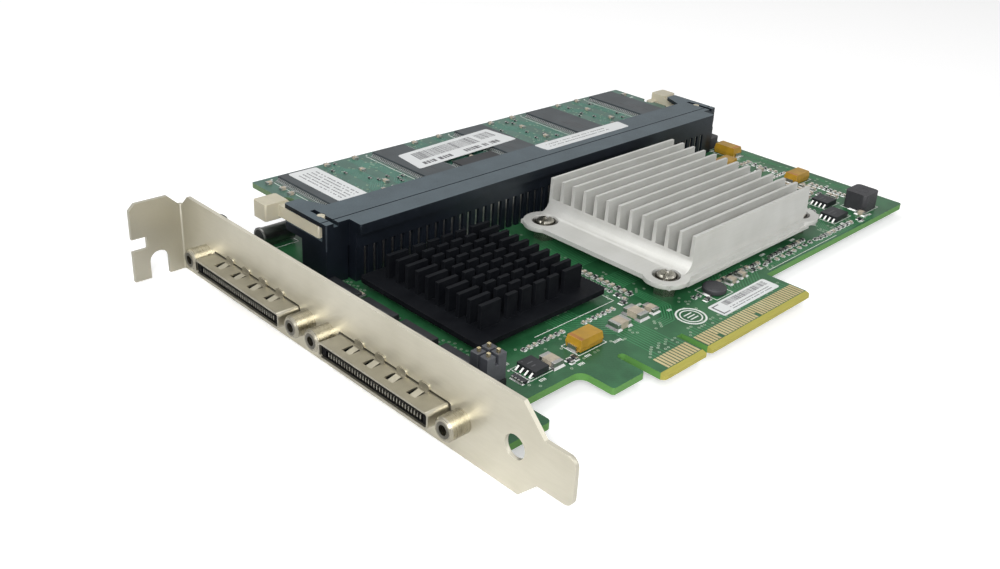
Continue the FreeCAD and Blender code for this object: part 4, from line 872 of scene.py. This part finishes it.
LOWER_BUNDLES = (
    ([(48, 8), (48, 20), (40, 28), (40, 62)], 10, 0.8), ([(80, 8), (80, 24), (92, 36), (92, 66)], 28, 0.66),
    ([(46, 44), (64, 44), (77, 57), (77, 66)], 12, 0.6),
    ([(112, 62), (112, 40), (126, 26), (162, 26)], 14, 0.7),
    ([(10, 60), (20, 60), (28, 52), (34, 52)], 16, 0.9), ([(30, 73), (30, 88), (38, 96), (142, 96)], 6, 0.8),
    ([(120, 72), (120, 80), (128, 88), (152, 88)], 10, 0.7),
    ([(10, 24), (22, 24), (30, 32), (34, 32)], 12, 0.9), ([(62, 73), (62, 80), (70, 88), (108, 88)], 8, 0.7),
    ([(160, 34), (160, 84)], 6, 0.9),
)
upper_copper, lower_copper = Shape(), Shape()
upper_ends, lower_ends = [], []
for path, count, pitch in UPPER_BUNDLES:
    bundle(upper_copper, upper_ends, path, count, pitch, 0.24, 0, COPPER_T, 0.5)
for path, count, pitch in LOWER_BUNDLES:
    bundle(lower_copper, lower_ends, path, count, pitch, 0.26, BACK_COPPER, BACK, 0.6)
for x0, x1, y0, y1, z0, z1 in islands("edge_contacts_component_side"):
    middle = (x0 + x1) / 2
    run = random.Random(int(middle * 10)).choice((0.7, 1.4, 2.1, 2.8))
    upper_copper.ribbon([(middle, y1 - 0.1), (middle, y1 + run)], 0.3, 0, COPPER_T)
    upper_ends.append((middle, y1 + run + 0.25))
for x0, x1, y0, y1, z0, z1 in islands("edge_contacts_solder_side"):
    middle = (x0 + x1) / 2
    lower_copper.ribbon([(middle, y1 - 0.1), (middle, y1 + 2.2)], 0.3, BACK_COPPER, BACK)
piece("board_tracks_component_side", upper_copper, TRACK_GREEN)
piece("board_tracks_solder_side", lower_copper, TRACK_GREEN)
print("tracks end at", len(upper_ends), "places above and", len(lower_ends), "below")

# %% [markdown]
# Where a bundle ends on free ground, its tracks run into plated holes, and more holes are scattered
# over open ground. On the solder side a square field of holes lies under each large chip, empty in its
# middle.

# %% Plated holes
def middle_of(node):
    low, high = card_box(node)
    return (low.x + high.x) / 2, (low.y + high.y) / 2


BUS_CHIP, PROCESSOR_CHIP = middle_of("bus_controller_chip"), middle_of("processor_chip")
HOLE_PITCH = 1.27
print("chip middles:", [round(v, 2) for v in BUS_CHIP + PROCESSOR_CHIP])
rng = random.Random(7)
for x0, x1, y0, y1, wanted in ((57.8, 69, 24, 66, 46), (130, 166, 14, 66, 120), (10, 19, 23, 66, 30),
                               (100, 150, 12.9, 18, 30), (44, 98, 12.6, 19, 36), (3, 42, 13, 27, 44),
                               (157.6, 166, 66, 100, 30), (24, 150, 88, 100.5, 90)):
    upper_ends += [(rng.uniform(x0, x1), rng.uniform(y0, y1)) for _ in range(wanted)]
kept = []
for x, y in upper_ends:
    if free(x, y) and all((x - a) ** 2 + (y - b) ** 2 > 0.55 for a, b in kept):
        kept.append((x, y))
field = []
for (mid_x, mid_y), reach, empty in ((BUS_CHIP, 11, 4), (PROCESSOR_CHIP, 13, 5)):
    steps = range(-reach, reach + 1)
    field += [(mid_x + a * HOLE_PITCH, mid_y + b * HOLE_PITCH) for a in steps for b in steps
              if max(abs(a), abs(b)) > empty]
rims, holes, lower_rims, lower_holes = Shape(), Shape(), Shape(), Shape()
for x, y in kept:
    rims.washer(x, y, 0.15, 0.34, 0, COPPER_T + 0.02, 10)
    holes.disc(x, y, 0.16, 0, 0.012, 10)
for x, y in lower_ends + kept[::2] + field:
    lower_rims.washer(x, y, 0.15, 0.32, BACK_COPPER - 0.02, BACK, 8)
    lower_holes.disc(x, y, 0.16, BACK - 0.012, BACK, 8)
piece("board_hole_rims_component_side", rims, HOLE_RIM)
piece("board_hole_rims_solder_side", lower_rims, HOLE_RIM)
piece("board_holes_component_side", holes, HOLE_DARK)
piece("board_holes_solder_side", lower_holes, HOLE_DARK)
print("plated holes:", len(kept), "above and", len(lower_ends + kept[::2] + field), "below")

# %% [markdown]
# ## Solder and the smallest parts
# Every end of a chip part sits in a small meniscus of solder, and so does the foot of every flat
# lead. The solids say where the ends are.

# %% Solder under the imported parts
solder = Shape()


def wet(x0, x1, y0, y1, height, spread):
    """A low heap of solder round the foot of an end."""
    top = max(0.18, height * 0.32)
    solder.heap(x0 - spread, x1 + spread, y0 - spread, y1 + spread, 0, top, spread * 0.92)


for node in ("ceramic_capacitor_ends", "resistor_ends", "tantalum_tabs"):
    for x0, x1, y0, y1, z0, z1 in islands(node):
        wet(x0, x1, y0, y1, z1, 0.22 if node == "resistor_ends" else 0.34)
for x0, x1, y0, y1, z0, z1 in islands("small_ic_leads"):
    solder.heap(x0 - 0.15, x1 + 0.15, y0 - 0.08, y1 + 0.08, 0, 0.16, 0.1)
for x0, x1, y0, y1 in line_feet:
    solder.heap(x0 - 0.08, x1 + 0.08, y0 - 0.05, y1 + 0.05, 0, 0.1, 0.06)
for node in ("power_inductors", "round_inductor"):
    for x0, x1, y0, y1, z0, z1 in islands(node):
        for end_x in (x0, x1):
            solder.heap(*centred(end_x, (y0 + y1) / 2, 0.55, 1.3), 0, 0.3, 0.4)
print("heaps of solder:", len(solder.faces) // 6)

# %% [markdown]
# Then come the parts too small for the solids: rows of resistors and capacitors along the front edge,
# between the heat sinks, beside the far inductor and wherever else ground is open. Each has its own
# two ends, its solder and a printed line along either side.

# %% Small chip parts
tan_bodies, dark_bodies, chip_ends, white_print = Shape(), Shape(), Shape(), Shape()
PRINT_Z = COPPER_T + 0.05
LIFT = 0.03
SIDE_LINE = 0.34


def chip_part(x, y, along_x, length, width, height, dark):
    """Body, two ends, solder and printed side lines, if the ground is free."""
    hx, hy = (length / 2, width / 2) if along_x else (width / 2, length / 2)
    if not free(x, y, max(hx, hy) * 0.75 + 0.3):
        return False
    taken.append(centred(x, y, hx, hy))
    end = length * 0.23
    bodies = dark_bodies if dark else tan_bodies
    body = (hx - end, hy) if along_x else (hx, hy - end)
    bodies.pillow(*centred(x, y, *body), LIFT, height, 0.05)
    for strip in ends_of(*centred(x, y, hx, hy), end):
        chip_ends.pillow(*strip, LIFT, height + 0.01, 0.06)
        wet(*strip, height, 0.16)
    for s in (-1, 1):
        if along_x:
            line = centred(x, y + s * (hy + SIDE_LINE), hx * 0.8, 0.06)
        else:
            line = centred(x + s * (hx + SIDE_LINE), y, 0.06, hy * 0.8)
        white_print.block(*line, COPPER_T, PRINT_Z)
    return True


# length, width and height of the three sizes
SIZES = ((1.0, 0.55, 0.38), (1.6, 0.85, 0.5), (2.0, 1.25, 0.75))
# first place, step, count, size number, lies along X, share of dark bodies
ROWS = (
    (98.4, 16.6, 2.1, 0.02, 12, 1, True, 0.6), (99.0, 14.9, 2.6, 0.0, 11, 0, False, 0.5),
    (126.5, 14.6, 2.3, 0.0, 8, 1, True, 0.4), (74.0, 15.8, 1.7, 0.0, 3, 0, False, 0.5),
    (85.0, 17.0, 2.3, 0.0, 6, 1, True, 0.3), (148.8, 31.4, 0.0, 1.75, 8, 2, True, 0.0),
    (152.2, 32.6, 0.0, 1.75, 7, 2, True, 0.1), (155.6, 26.6, 0.0, 1.75, 7, 2, True, 0.0),
    (159.0, 25.6, 0.0, 1.5, 8, 1, True, 0.4), (144.6, 34.6, 0.0, 1.5, 9, 1, True, 0.5),
    (141.4, 25.0, 0.0, 1.3, 6, 0, True, 0.6), (153.2, 46.2, 1.5, 0.0, 6, 0, False, 0.4),
    (133.2, 20.4, 0.0, 1.7, 12, 0, True, 0.5), (152.0, 58.0, 1.9, 0.0, 5, 1, False, 0.2),
    (158.8, 46.6, 0.0, 1.8, 8, 1, True, 0.3), (59.2, 36.5, 0.0, 1.35, 14, 0, True, 0.6),
    (61.6, 30.0, 0.0, 1.6, 9, 0, False, 0.5), (64.0, 26.4, 0.0, 1.7, 10, 1, True, 0.3),
    (60.0, 25.6, 1.5, 0.0, 3, 0, False, 0.4), (46.4, 24.2, 1.55, 0.0, 7, 0, False, 0.6),
    (28.8, 24.6, 1.6, 0.0, 8, 0, False, 0.6), (13.0, 35.7, 2.0, 0.0, 3, 0, True, 0.8),
    (13.0, 48.0, 2.0, 0.0, 3, 0, True, 0.8), (13.0, 60.3, 2.0, 0.0, 3, 0, True, 0.8),
    (24.0, 88.6, 2.4, 0.0, 10, 1, False, 0.3), (52.0, 89.4, 2.0, 0.0, 14, 0, False, 0.5),
    (102.0, 89.0, 2.2, 0.0, 12, 1, False, 0.4), (24.5, 98.8, 2.9, 0.0, 40, 0, True, 0.5),
    (159.0, 82.0, 0.0, 2.2, 7, 1, True, 0.4), (162.8, 81.0, 0.0, 1.9, 8, 0, True, 0.5),
    (3.6, 14.4, 1.7, 0.0, 5, 0, False, 0.5), (3.4, 16.6, 0.0, 1.5, 1, 0, True, 0.5),
)
placed = 0
for x, y, dx, dy, count, size, along_x, dark in ROWS:
    for k in range(count):
        placed += chip_part(x + k * dx, y + k * dy, along_x, *SIZES[size], rng.random() < dark)
piece("solder_menisci", solder, SOLDER)
piece("chip_part_bodies_light", tan_bodies, CERAMIC)
piece("chip_part_bodies_dark", dark_bodies, RESISTOR_GLAZE)
piece("chip_part_ends", chip_ends, TIN)
print("small chip parts:", placed)

# %% [markdown]
# ## Print
# The white print of a board is worn and thin. Here it holds outlines, a dot at each first lead, short
# bars where a real board has its numbering, and one plain double ring near the fingers.

# %% White print on the component side
def outlined(x0, x1, y0, y1, gap=0.35, line=0.14):
    white_print.frame(x0 - gap, x1 + gap, y0 - gap, y1 + gap, line, COPPER_T, PRINT_Z)


def bars(x, y, count, tall=0.75, pitch=0.42):
    """A short row of plain upright bars."""
    for k in range(count):
        white_print.block(x + k * pitch, x + k * pitch + 0.2, y, y + tall, COPPER_T, PRINT_Z)


# how far the leads or tabs of each outlined part reach out
OUTLINED = {"small_ics": 1.1, "power_inductors": 0.0, "tantalum_capacitors": 0.4, "round_inductor": 0.0,
            "jumper_header": 0.0, "crystal_can": 0.0}
for node, leads in OUTLINED.items():
    for x0, x1, y0, y1, z0, z1 in islands(node):
        if node == "tantalum_capacitors" and y1 - y0 > x1 - x0:
            outlined(x0, x1, y0 - leads, y1 + leads)
        else:
            outlined(x0 - leads, x1 + leads, y0, y1)
        if node == "small_ics":
            white_print.disc(x0 - leads - 0.9, y1 + 0.1, 0.28, COPPER_T, PRINT_Z)
        if free(x0 + 0.8, y0 - 1.3, 0.5):
            bars(x0, y0 - 1.7, 4)
for x, y, count in ((60.2, 63.0, 5), (61.0, 21.4, 4), (132.6, 49.0, 5), (134.0, 60.0, 6), (160.6, 32.0, 4),
                    (105.0, 18.2, 5), (16.0, 97.6, 4), (45.0, 14.4, 6), (33.0, 13.2, 4), (119.0, 18.3, 5),
                    (21.4, 22.6, 4), (158.6, 93.0, 5), (64.5, 15.6, 3), (137.6, 62.6, 6), (48.0, 98.0, 6),
                    (100.0, 98.4, 6), (145.0, 12.9, 5)):
    if free(x + 0.6, y + 0.3, 0.3):
        bars(x, y, count)
RING = (66.6, 11.2)
for outer, line in ((3.55, 0.42), (2.6, 0.3)):
    white_print.washer(*RING, outer - line, outer, COPPER_T, PRINT_Z, 48)
for k in range(3):
    white_print.block(*centred(RING[0], RING[1] - 0.95 + k * 0.95, 1.3, 0.15), COPPER_T, PRINT_Z)
white_print.ribbon([(34.0, 26.6), (58.8, 26.6), (58.8, 67.0)], 0.16, COPPER_T, PRINT_Z)
white_print.ribbon([(100, 12.75), (132, 12.75)], 0.14, COPPER_T, PRINT_Z)
piece("board_print_component_side", white_print, WHITE_PRINT)

lower_print = Shape()
for ground in ((19, 58, 27, 66), (74, 123, 18, 63), (12, 160, 68, 71.4), (6.2, 10.6, 12, 48),
               (6.2, 10.6, 57, 93)):
    lower_print.frame(*ground, 0.2, BACK_COPPER - 0.03, BACK_COPPER)
piece("board_print_solder_side", lower_print, WHITE_PRINT)
print("print faces:", len(white_print.faces))

# %% [markdown]
# ## Parts on the solder side
# Under each large chip the solder side holds decoupling capacitors, so a look from below finds a real
# board too. They stay well above the lowest edge of the bracket.

# %% Capacitors under the large chips
under_bodies, under_ends = Shape(), Shape()
for (mid_x, mid_y), nx, ny in ((BUS_CHIP, 5, 4), (PROCESSOR_CHIP, 6, 5)):
    for a in range(nx):
        for b in range(ny):
            x = mid_x + (a - (nx - 1) / 2) * 2.1
            y = mid_y + (b - (ny - 1) / 2) * 2.6
            under_bodies.block(*centred(x, y, 0.42, 0.48), BACK - 0.6, BACK - LIFT)
            for s in (-1, 1):
                under_ends.block(*centred(x, y + s * 0.64, 0.42, 0.18), BACK - 0.62, BACK)
piece("underside_capacitors", under_bodies, CERAMIC)
piece("underside_capacitor_ends", under_ends, TIN)
print("capacitors below:", len(under_bodies.faces) // 6)

# %% [markdown]
# ## The memory module
# Its chips stand on two rows of fine gull-wing leads. The solids have coarse straight strips in their
# place, so this finer set replaces them, and each lead gets its own pad.

# %% Leads and pads of the memory chips
module_low, module_high = card_box("memory_module_board")
MODULE_TOP = module_high.z
CHIPS = islands("memory_chips")
LEADS, LEAD_PITCH = 33, 0.65
leads, module_pads = Shape(), Shape()
for x0, x1, y0, y1, z0, z1 in CHIPS:
    middle = (z0 + z1) / 2
    profile = [(-0.1, middle), (0.22, middle), (0.40, MODULE_TOP + 0.16), (0.80, MODULE_TOP + 0.09)]
    for place in gull_wings(leads, (x0, x1, y0, y1), profile, LEADS, LEAD_PITCH, 0.15, 0.12):
        module_pads.block(*foot(place, 0.38, 1.15, 0.18), MODULE_TOP, MODULE_TOP + 0.05)
lead_rows = piece("memory_chip_gull_wing_leads", leads, LEAD_GREY)
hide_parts("memory_chip_leads")
piece("memory_chip_pads", module_pads, SOLDER)
print("leads:", len(CHIPS) * 2 * LEADS)

# %% [markdown]
# A small register chip can stand between the second and the third memory chip, low enough to be half
# hidden by the label above it. Its dark body also stands in for the shade under that label. It gets
# the same kind of leads, fewer and smaller.

# %% Register chip
REGISTER = (CHIPS[1][1] + 2.3, CHIPS[2][0] - 2.3, 81.6, 87.6)
REGISTER_PROFILE = [(-0.1, MODULE_TOP + 0.5), (0.2, MODULE_TOP + 0.5), (0.35, MODULE_TOP + 0.14),
                    (0.7, MODULE_TOP + 0.07)]
register_body, register_leads = Shape(), Shape()
register_body.pillow(*REGISTER, MODULE_TOP + 0.08, MODULE_TOP + 0.95, 0.12)
gull_wings(register_leads, REGISTER, REGISTER_PROFILE, 9, 0.6, 0.14, 0.11)
# Its dark body also stands in for the shade under the large label.
piece("module_register", register_body, CHIP_BLACK)
piece("module_register_leads", register_leads, LEAD_GREY)
print("register:", [round(v, 1) for v in REGISTER])

# %% [markdown]
# Between the chips run tracks from the socket to the module's far edge, with short ones from the
# chips' sides, plated holes and scattered small parts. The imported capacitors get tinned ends.

# %% Tracks, holes and small parts on the module
MODULE_COPPER = MODULE_TOP + COPPER_T
LEAD_ROOM = 1.3
MODULE_PARTS = islands("memory_capacitors")
module_taken = [b[:4] for b in MODULE_PARTS]
module_taken += [(c[0] - LEAD_ROOM, c[1] + LEAD_ROOM, c[2], c[3]) for c in CHIPS]
module_taken.append((REGISTER[0] - 1.0, REGISTER[1] + 1.0, REGISTER[2], REGISTER[3]))
module_copper, module_rims, module_holes, module_ends, module_parts = (Shape() for _ in range(5))


def module_free(x, y, gap):
    inside = module_low.x + 0.8 < x < module_high.x - 0.8 and 80.8 < y < module_high.y - 0.7
    return inside and clear_of(module_taken, x, y, gap)


def module_track(path, width):
    module_copper.ribbon(path, width, MODULE_TOP, MODULE_COPPER)


for x0, x1, y0, y1, z0, z1 in MODULE_PARTS:
    for strip in ends_of(x0, x1, y0, y1, 0.36, 0.02):
        module_ends.pillow(*strip, MODULE_TOP, z1 + 0.02, 0.05)
for chip, next_chip in zip(CHIPS, CHIPS[1:]):
    left, right = chip[1] + LEAD_ROOM, next_chip[0] - LEAD_ROOM
    middle = (left + right) / 2
    for x, count in ((middle - 3.6, 7), (middle + 3.4, 6)):
        bend = [(x, 80.6), (x, 87), (x + 1.8, 88.8), (x + 1.8, 98), (x - 0.4, 100.2), (x - 0.4, 105.6)]
        for k in range(count):
            module_track(beside(bend, (k - count / 2) * 0.52), 0.2)
    for k in range(8):
        y = 82.6 + k * 2.75
        module_track([(left - 0.4, y), (left + 1.0, y), (left + 1.9, y + 0.9)], 0.18)
        module_track([(right + 0.4, y), (right - 1.0, y), (right - 1.9, y - 0.9)], 0.18)
    for _ in range(46):
        x, y = rng.uniform(left + 0.3, right - 0.3), rng.uniform(81.4, 106)
        if module_free(x, y, 0.4):
            module_rims.washer(x, y, 0.13, 0.3, MODULE_TOP, MODULE_TOP + 0.055, 8)
            module_holes.disc(x, y, 0.14, MODULE_TOP, MODULE_TOP + 0.02, 8)
            module_taken.append(centred(x, y, 0.3, 0.3))
    for _ in range(26):
        x, y = rng.uniform(left + 0.8, right - 0.8), rng.uniform(82, 105.4)
        if module_free(x, y, 0.85):
            module_parts.pillow(*centred(x, y, 0.28, 0.3), MODULE_TOP + 0.02, MODULE_TOP + 0.4, 0.04)
            for s in (-1, 1):
                module_ends.pillow(*centred(x, y + s * 0.40, 0.28, 0.12), MODULE_TOP, MODULE_TOP + 0.42, 0.05)
            module_taken.append(centred(x, y, 0.4, 0.6))
piece("module_tracks", module_copper, MODULE_TRACK)
piece("module_hole_rims", module_rims, HOLE_RIM)
piece("module_holes", module_holes, HOLE_DARK)
piece("module_part_ends", module_ends, TIN)
piece("module_small_parts", module_parts, RESISTOR_GLAZE)
print("module part ends:", len(module_ends.faces))

# %% [markdown]
# Print on the module is sparse: a line beside each row of leads, a dot at each chip's first lead and
# one short row of bars at the far end.

# %% Print on the module
module_print = Shape()
for x0, x1, y0, y1, z0, z1 in CHIPS:
    for x in (x0 - 1.75, x1 + 1.61):
        module_print.block(x, x + 0.14, y0 - 0.1, y1 + 0.3, MODULE_TOP, MODULE_COPPER + 0.02)
    module_print.disc(x0 - 1.1, y1 + 0.9, 0.25, MODULE_TOP, MODULE_COPPER + 0.02)
for k in range(9):
    x = module_high.x - 5.0 + k * 0.4
    module_print.block(x, x + 0.2, 98.0, 98.8, MODULE_TOP, MODULE_TOP + 0.05)
piece("module_print", module_print, WHITE_PRINT)
print("module print faces:", len(module_print.faces))

# %% [markdown]
# ## Labels
# Four white paper labels lie on the card: one on the first memory chip, a large one across the gap
# between the second and the third, a strip along the socket and one by the fingers. Each has rounded
# corners and a little thickness, and carries only plain grey bars.

# %% Paper, and print that is placed by its share of the label
paper, ink = Shape(), Shape()
INK_T = 0.012


def rounded(outline, radius=0.7, steps=4):
    """An outline with its corners rounded off."""
    out = []
    for i, corner in enumerate(outline):
        here = Vector(corner)
        to_last = (Vector(outline[i - 1]) - here).normalized() * radius
        to_next = (Vector(outline[(i + 1) % len(outline)]) - here).normalized() * radius
        for k in range(steps + 1):
            t = k / steps
            out.append(tuple(here + to_last * (1 - t) ** 2 + to_next * t ** 2))
    return out


def label(places, z, thick=0.09):
    """Lays paper with corners at four places, from its own lower left, and gives back what prints on it."""
    paper.prism(rounded(places), z, z + thick)
    a, b, c, d = (Vector(p) for p in places)

    def spot(u, v):
        return a.lerp(b, u).lerp(d.lerp(c, u), v)

    def mark(u0, u1, v0, v1):
        outline = [tuple(spot(u, v)) for u, v in ((u0, v0), (u1, v0), (u1, v1), (u0, v1))]
        ink.prism(outline, z + thick, z + thick + INK_T)

    return mark


def dashed_lines(mark, u0, u1, v0, v1, lines, seed, wide, tall):
    """Rows of short plain dashes, as small type looks from afar."""
    draw = random.Random(seed)
    row = (v1 - v0) / lines
    for k in range(lines):
        u = u0
        while u < u1 - wide:
            run = min(draw.uniform(0.5, 1.6) * wide, u1 - u)
            mark(u, u + run, v0 + k * row + row * (0.5 - tall / 2), v0 + k * row + row * (0.5 + tall / 2))
            u += run + wide * draw.choice((0.4, 0.4, 0.5, 1.6))


def bar_field(mark, u0, u1, v0, v1, count, seed):
    """Upright bars of three widths, side by side."""
    draw = random.Random(seed)
    step = (u1 - u0) / count
    for k in range(count):
        mark(u0 + k * step, u0 + k * step + step * draw.choice((0.3, 0.45, 0.65)), v0, v1)


print("points round a label:", len(rounded([(0, 0), (4, 0), (4, 2), (0, 2)])))

# %% [markdown]
# The first label is turned to run along its chip. The large one lies a little askew, as labels put on
# by hand do, so its four corners are given one by one.

# %% Four labels
x0, x1, y0, y1, z0, CHIP_TOP = CHIPS[0]
mark = label([(x1 + 0.1, y0 + 1.0), (x1 + 0.1, y1 - 0.8), (x0 + 2.3, y1 - 0.8), (x0 + 2.3, y0 + 1.0)],
             CHIP_TOP)
dashed_lines(mark, 0.06, 0.90, 0.14, 0.88, 5, 3, 0.022, 0.30)
mark = label([(54.9, 87.9), (90.3, 89.6), (89.0, 100.3), (56.2, 98.2)], CHIP_TOP + 0.02)
bar_field(mark, 0.10, 0.74, 0.42, 0.86, 54, 5)
bar_field(mark, 0.78, 0.95, 0.5, 0.85, 12, 8)
dashed_lines(mark, 0.08, 0.42, 0.1, 0.3, 1, 6, 0.022, 0.8)
dashed_lines(mark, 0.50, 0.90, 0.1, 0.3, 1, 7, 0.022, 0.8)
socket_top = card_box("memory_socket")[1].z
mark = label([(87.6, 75.3), (121.0, 75.3), (121.4, 80.0), (87.2, 80.0)], socket_top, 0.07)
dashed_lines(mark, 0.08, 0.80, 0.2, 0.8, 2, 11, 0.014, 0.22)
mark = label([(72.4, 6.4), (94.6, 6.4), (94.6, 11.2), (72.4, 11.2)], COPPER_T + 0.01, 0.08)
bar_field(mark, 0.20, 0.95, 0.52, 0.88, 46, 12)
dashed_lines(mark, 0.20, 0.92, 0.10, 0.42, 2, 13, 0.016, 0.35)
mark(0.03, 0.14, 0.12, 0.18)
mark(0.03, 0.14, 0.8, 0.86)
mark(0.03, 0.05, 0.12, 0.86)
piece("paper_labels", paper, LABEL_PAPER)
piece("label_bars", ink, LABEL_INK)
print("label marks:", len(ink.faces) // 6)

# %% [markdown]
# ## Springs at the heat sink's screws
# The silver heat sink is pulled down by springs round its four screws. Each spring is a wire along a
# helix of three turns, and a dark ring under the screw's head is the shade in the well round it.

# %% Springs, and painted shade in the wells round the screws
springs, well_shade = Shape(), Shape()
SPRING_R, SPRING_WIRE, SPRING_FOOT, SPRING_RISE = 2.76, 0.24, 3.05, 1.1
SPRING_TURNS, STEPS = 3, 20
WELL_IN, WELL_OUT, WELL_LOW, WELL_HIGH = 2.24, 3.27, 2.1, 1.9
for x0, x1, y0, y1, z0, z1 in islands("heat_sink_screws"):
    x, y = (x0 + x1) / 2, (y0 + y1) / 2
    coil = []
    for k in range(SPRING_TURNS * STEPS + 1):
        turn = 2 * math.pi * k / STEPS
        rise = SPRING_RISE * k / (SPRING_TURNS * STEPS)
        coil.append((x + SPRING_R * math.cos(turn), y + SPRING_R * math.sin(turn), SPRING_FOOT + rise))
    springs.wire(coil, SPRING_WIRE)
    # A dark ring of painted shade lies in the well under each screw's head.
    well_shade.washer(x, y, WELL_IN, WELL_OUT, z1 - WELL_LOW, z1 - WELL_HIGH, 40)
piece("heat_sink_screw_well_shade", well_shade, HEADER_BLACK_AND_SHADE)
piece("heat_sink_springs", springs, SPRING_STEEL)
print("spring faces:", len(springs.faces))

# %% [markdown]
# ## Marks and bands
# Chips carry a dot at their first lead and dull plain bars, tantalum blocks a darker band at one end,
# and pressed inductors a raised ring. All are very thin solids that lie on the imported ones.

# %% Marks on chips, bands on tantalums, rings on inductors
marks, bands, ferrite_rings = Shape(), Shape(), Shape()
MARK_T = 0.008
for x0, x1, y0, y1, z0, z1 in islands("small_ics"):
    marks.disc(x0 + 0.7, y1 - 0.7, 0.22, z1, z1 + MARK_T)
    for k, run in enumerate((0.72, 0.5)):
        y = y0 + (y1 - y0) * (0.62 - 0.24 * k)
        marks.block(x0 + 0.9, x0 + 0.9 + (x1 - x0 - 1.8) * run, y - 0.14, y + 0.14, z1, z1 + MARK_T)
for x0, x1, y0, y1 in LINE_CHIPS:
    marks.disc(x0 + 0.8, y1 - 0.8, 0.3, LINE_TOP, LINE_TOP + MARK_T)
    for k, run in enumerate((0.62, 0.44)):
        x, long = x0 + 1.3 + k * 0.9, (y1 - y0 - 3) * run
        marks.block(x, x + 0.3, y0 + 1.4, y0 + 1.4 + long, LINE_TOP, LINE_TOP + MARK_T)
for x0, x1, y0, y1, z0, z1 in CHIPS:
    marks.disc(x0 + 1.1, y1 - 1.3, 0.45, z1, z1 + MARK_T, 20)
    for k, run in enumerate((0.6, 0.42, 0.5)):
        x, long = x0 + 2.6 + k * 1.15, (y1 - y0 - 6) * run
        marks.block(x, x + 0.4, y0 + 3.0, y0 + 3.0 + long, z1, z1 + MARK_T)
for x0, x1, y0, y1, z0, z1 in islands("tantalum_capacitors"):
    if x1 - x0 > y1 - y0:
        bands.block(x0 + 0.35, x0 + 1.35, y0 + 0.3, y1 - 0.3, z1 - 0.02, z1 + 0.012)
    else:
        bands.block(x0 + 0.3, x1 - 0.3, y0 + 0.35, y0 + 1.35, z1 - 0.02, z1 + 0.012)
for x0, x1, y0, y1, z0, z1 in islands("power_inductors"):
    ferrite_rings.washer((x0 + x1) / 2, (y0 + y1) / 2, 1.5, 1.75, z1, z1 + 0.05, 32)
piece("chip_marks", marks, MARK_INK)
piece("tantalum_bands", bands, BAND_BROWN)
piece("inductor_rings", ferrite_rings, FERRITE)
print("marks:", len(marks.faces))

# %% [markdown]
# ## Inside the ports
# Behind each shell's lip a row of fine metal fingers stands along both sides of the mouth. Each gets a
# tip in plain metal, while the contacts behind carry painted shade, and the gaps between the tips make
# the mouth look like a comb.

# %% Contact combs of the ports
combs = Shape()
PORT_MIDDLE = 3.2
for node in ("port_a_contacts", "port_b_contacts"):
    for x0, x1, y0, y1, z0, z1 in islands(node):
        low, high = (z0 - 0.55, z0 + 0.05) if z0 > PORT_MIDDLE else (z1 - 0.05, z1 + 0.30)
        combs.heap(x0 - 0.10, x0 + 0.3, y0 + 0.10, y1 - 0.10, low, high, 0.03)
piece("port_contact_combs", combs, CONTACT_TIPS)
print("comb fingers:", len(combs.faces) // 6)

# %% [markdown]
# ## Round ends along the card
# Two round things face along the card: the jack posts, whose bores open with a countersink drawn as a
# flat ring of painted shade, and the crystal can, whose end is closed by a dark seal. Both are rings
# laid in the plane across X.

# %% Mouths of the jack posts and seal of the can
ROUND = 28
MOUTH_IN, MOUTH_OUT = 1.0, 1.62
mouths = Shape()
for x0, x1, y0, y1, z0, z1 in islands("jack_posts"):
    y, z = (y0 + y1) / 2, (z0 + z1) / 2
    # Each flat dark ring is painted shade where the bore opens in its countersink.
    section = ((x0 - 0.02, MOUTH_IN), (x0 - 0.02, MOUTH_OUT), (x0 + 0.05, MOUTH_OUT), (x0 + 0.05, MOUTH_IN))
    mouths.rings([[(x, y + r * c, z + r * s) for x, r in section] for c, s in circle(ROUND)], closed=True)
piece("jack_post_mouths", mouths, POST_SHADE)
x0, x1, y0, y1, z0, z1 = islands("crystal_can")[0]
y, z, radius = (y0 + y1) / 2, (z0 + z1) / 2, (y1 - y0) / 2 * 0.8
can_seal = Shape()
can_seal.rings([[(x, y + radius * c, z + radius * s) for c, s in circle(ROUND)]
                for x in (x0 - 0.02, x0 + 0.04)])
piece("crystal_can_seal", can_seal, HEADER_BLACK_AND_SHADE)
print("post mouths:", len(mouths.faces) // (4 * ROUND))
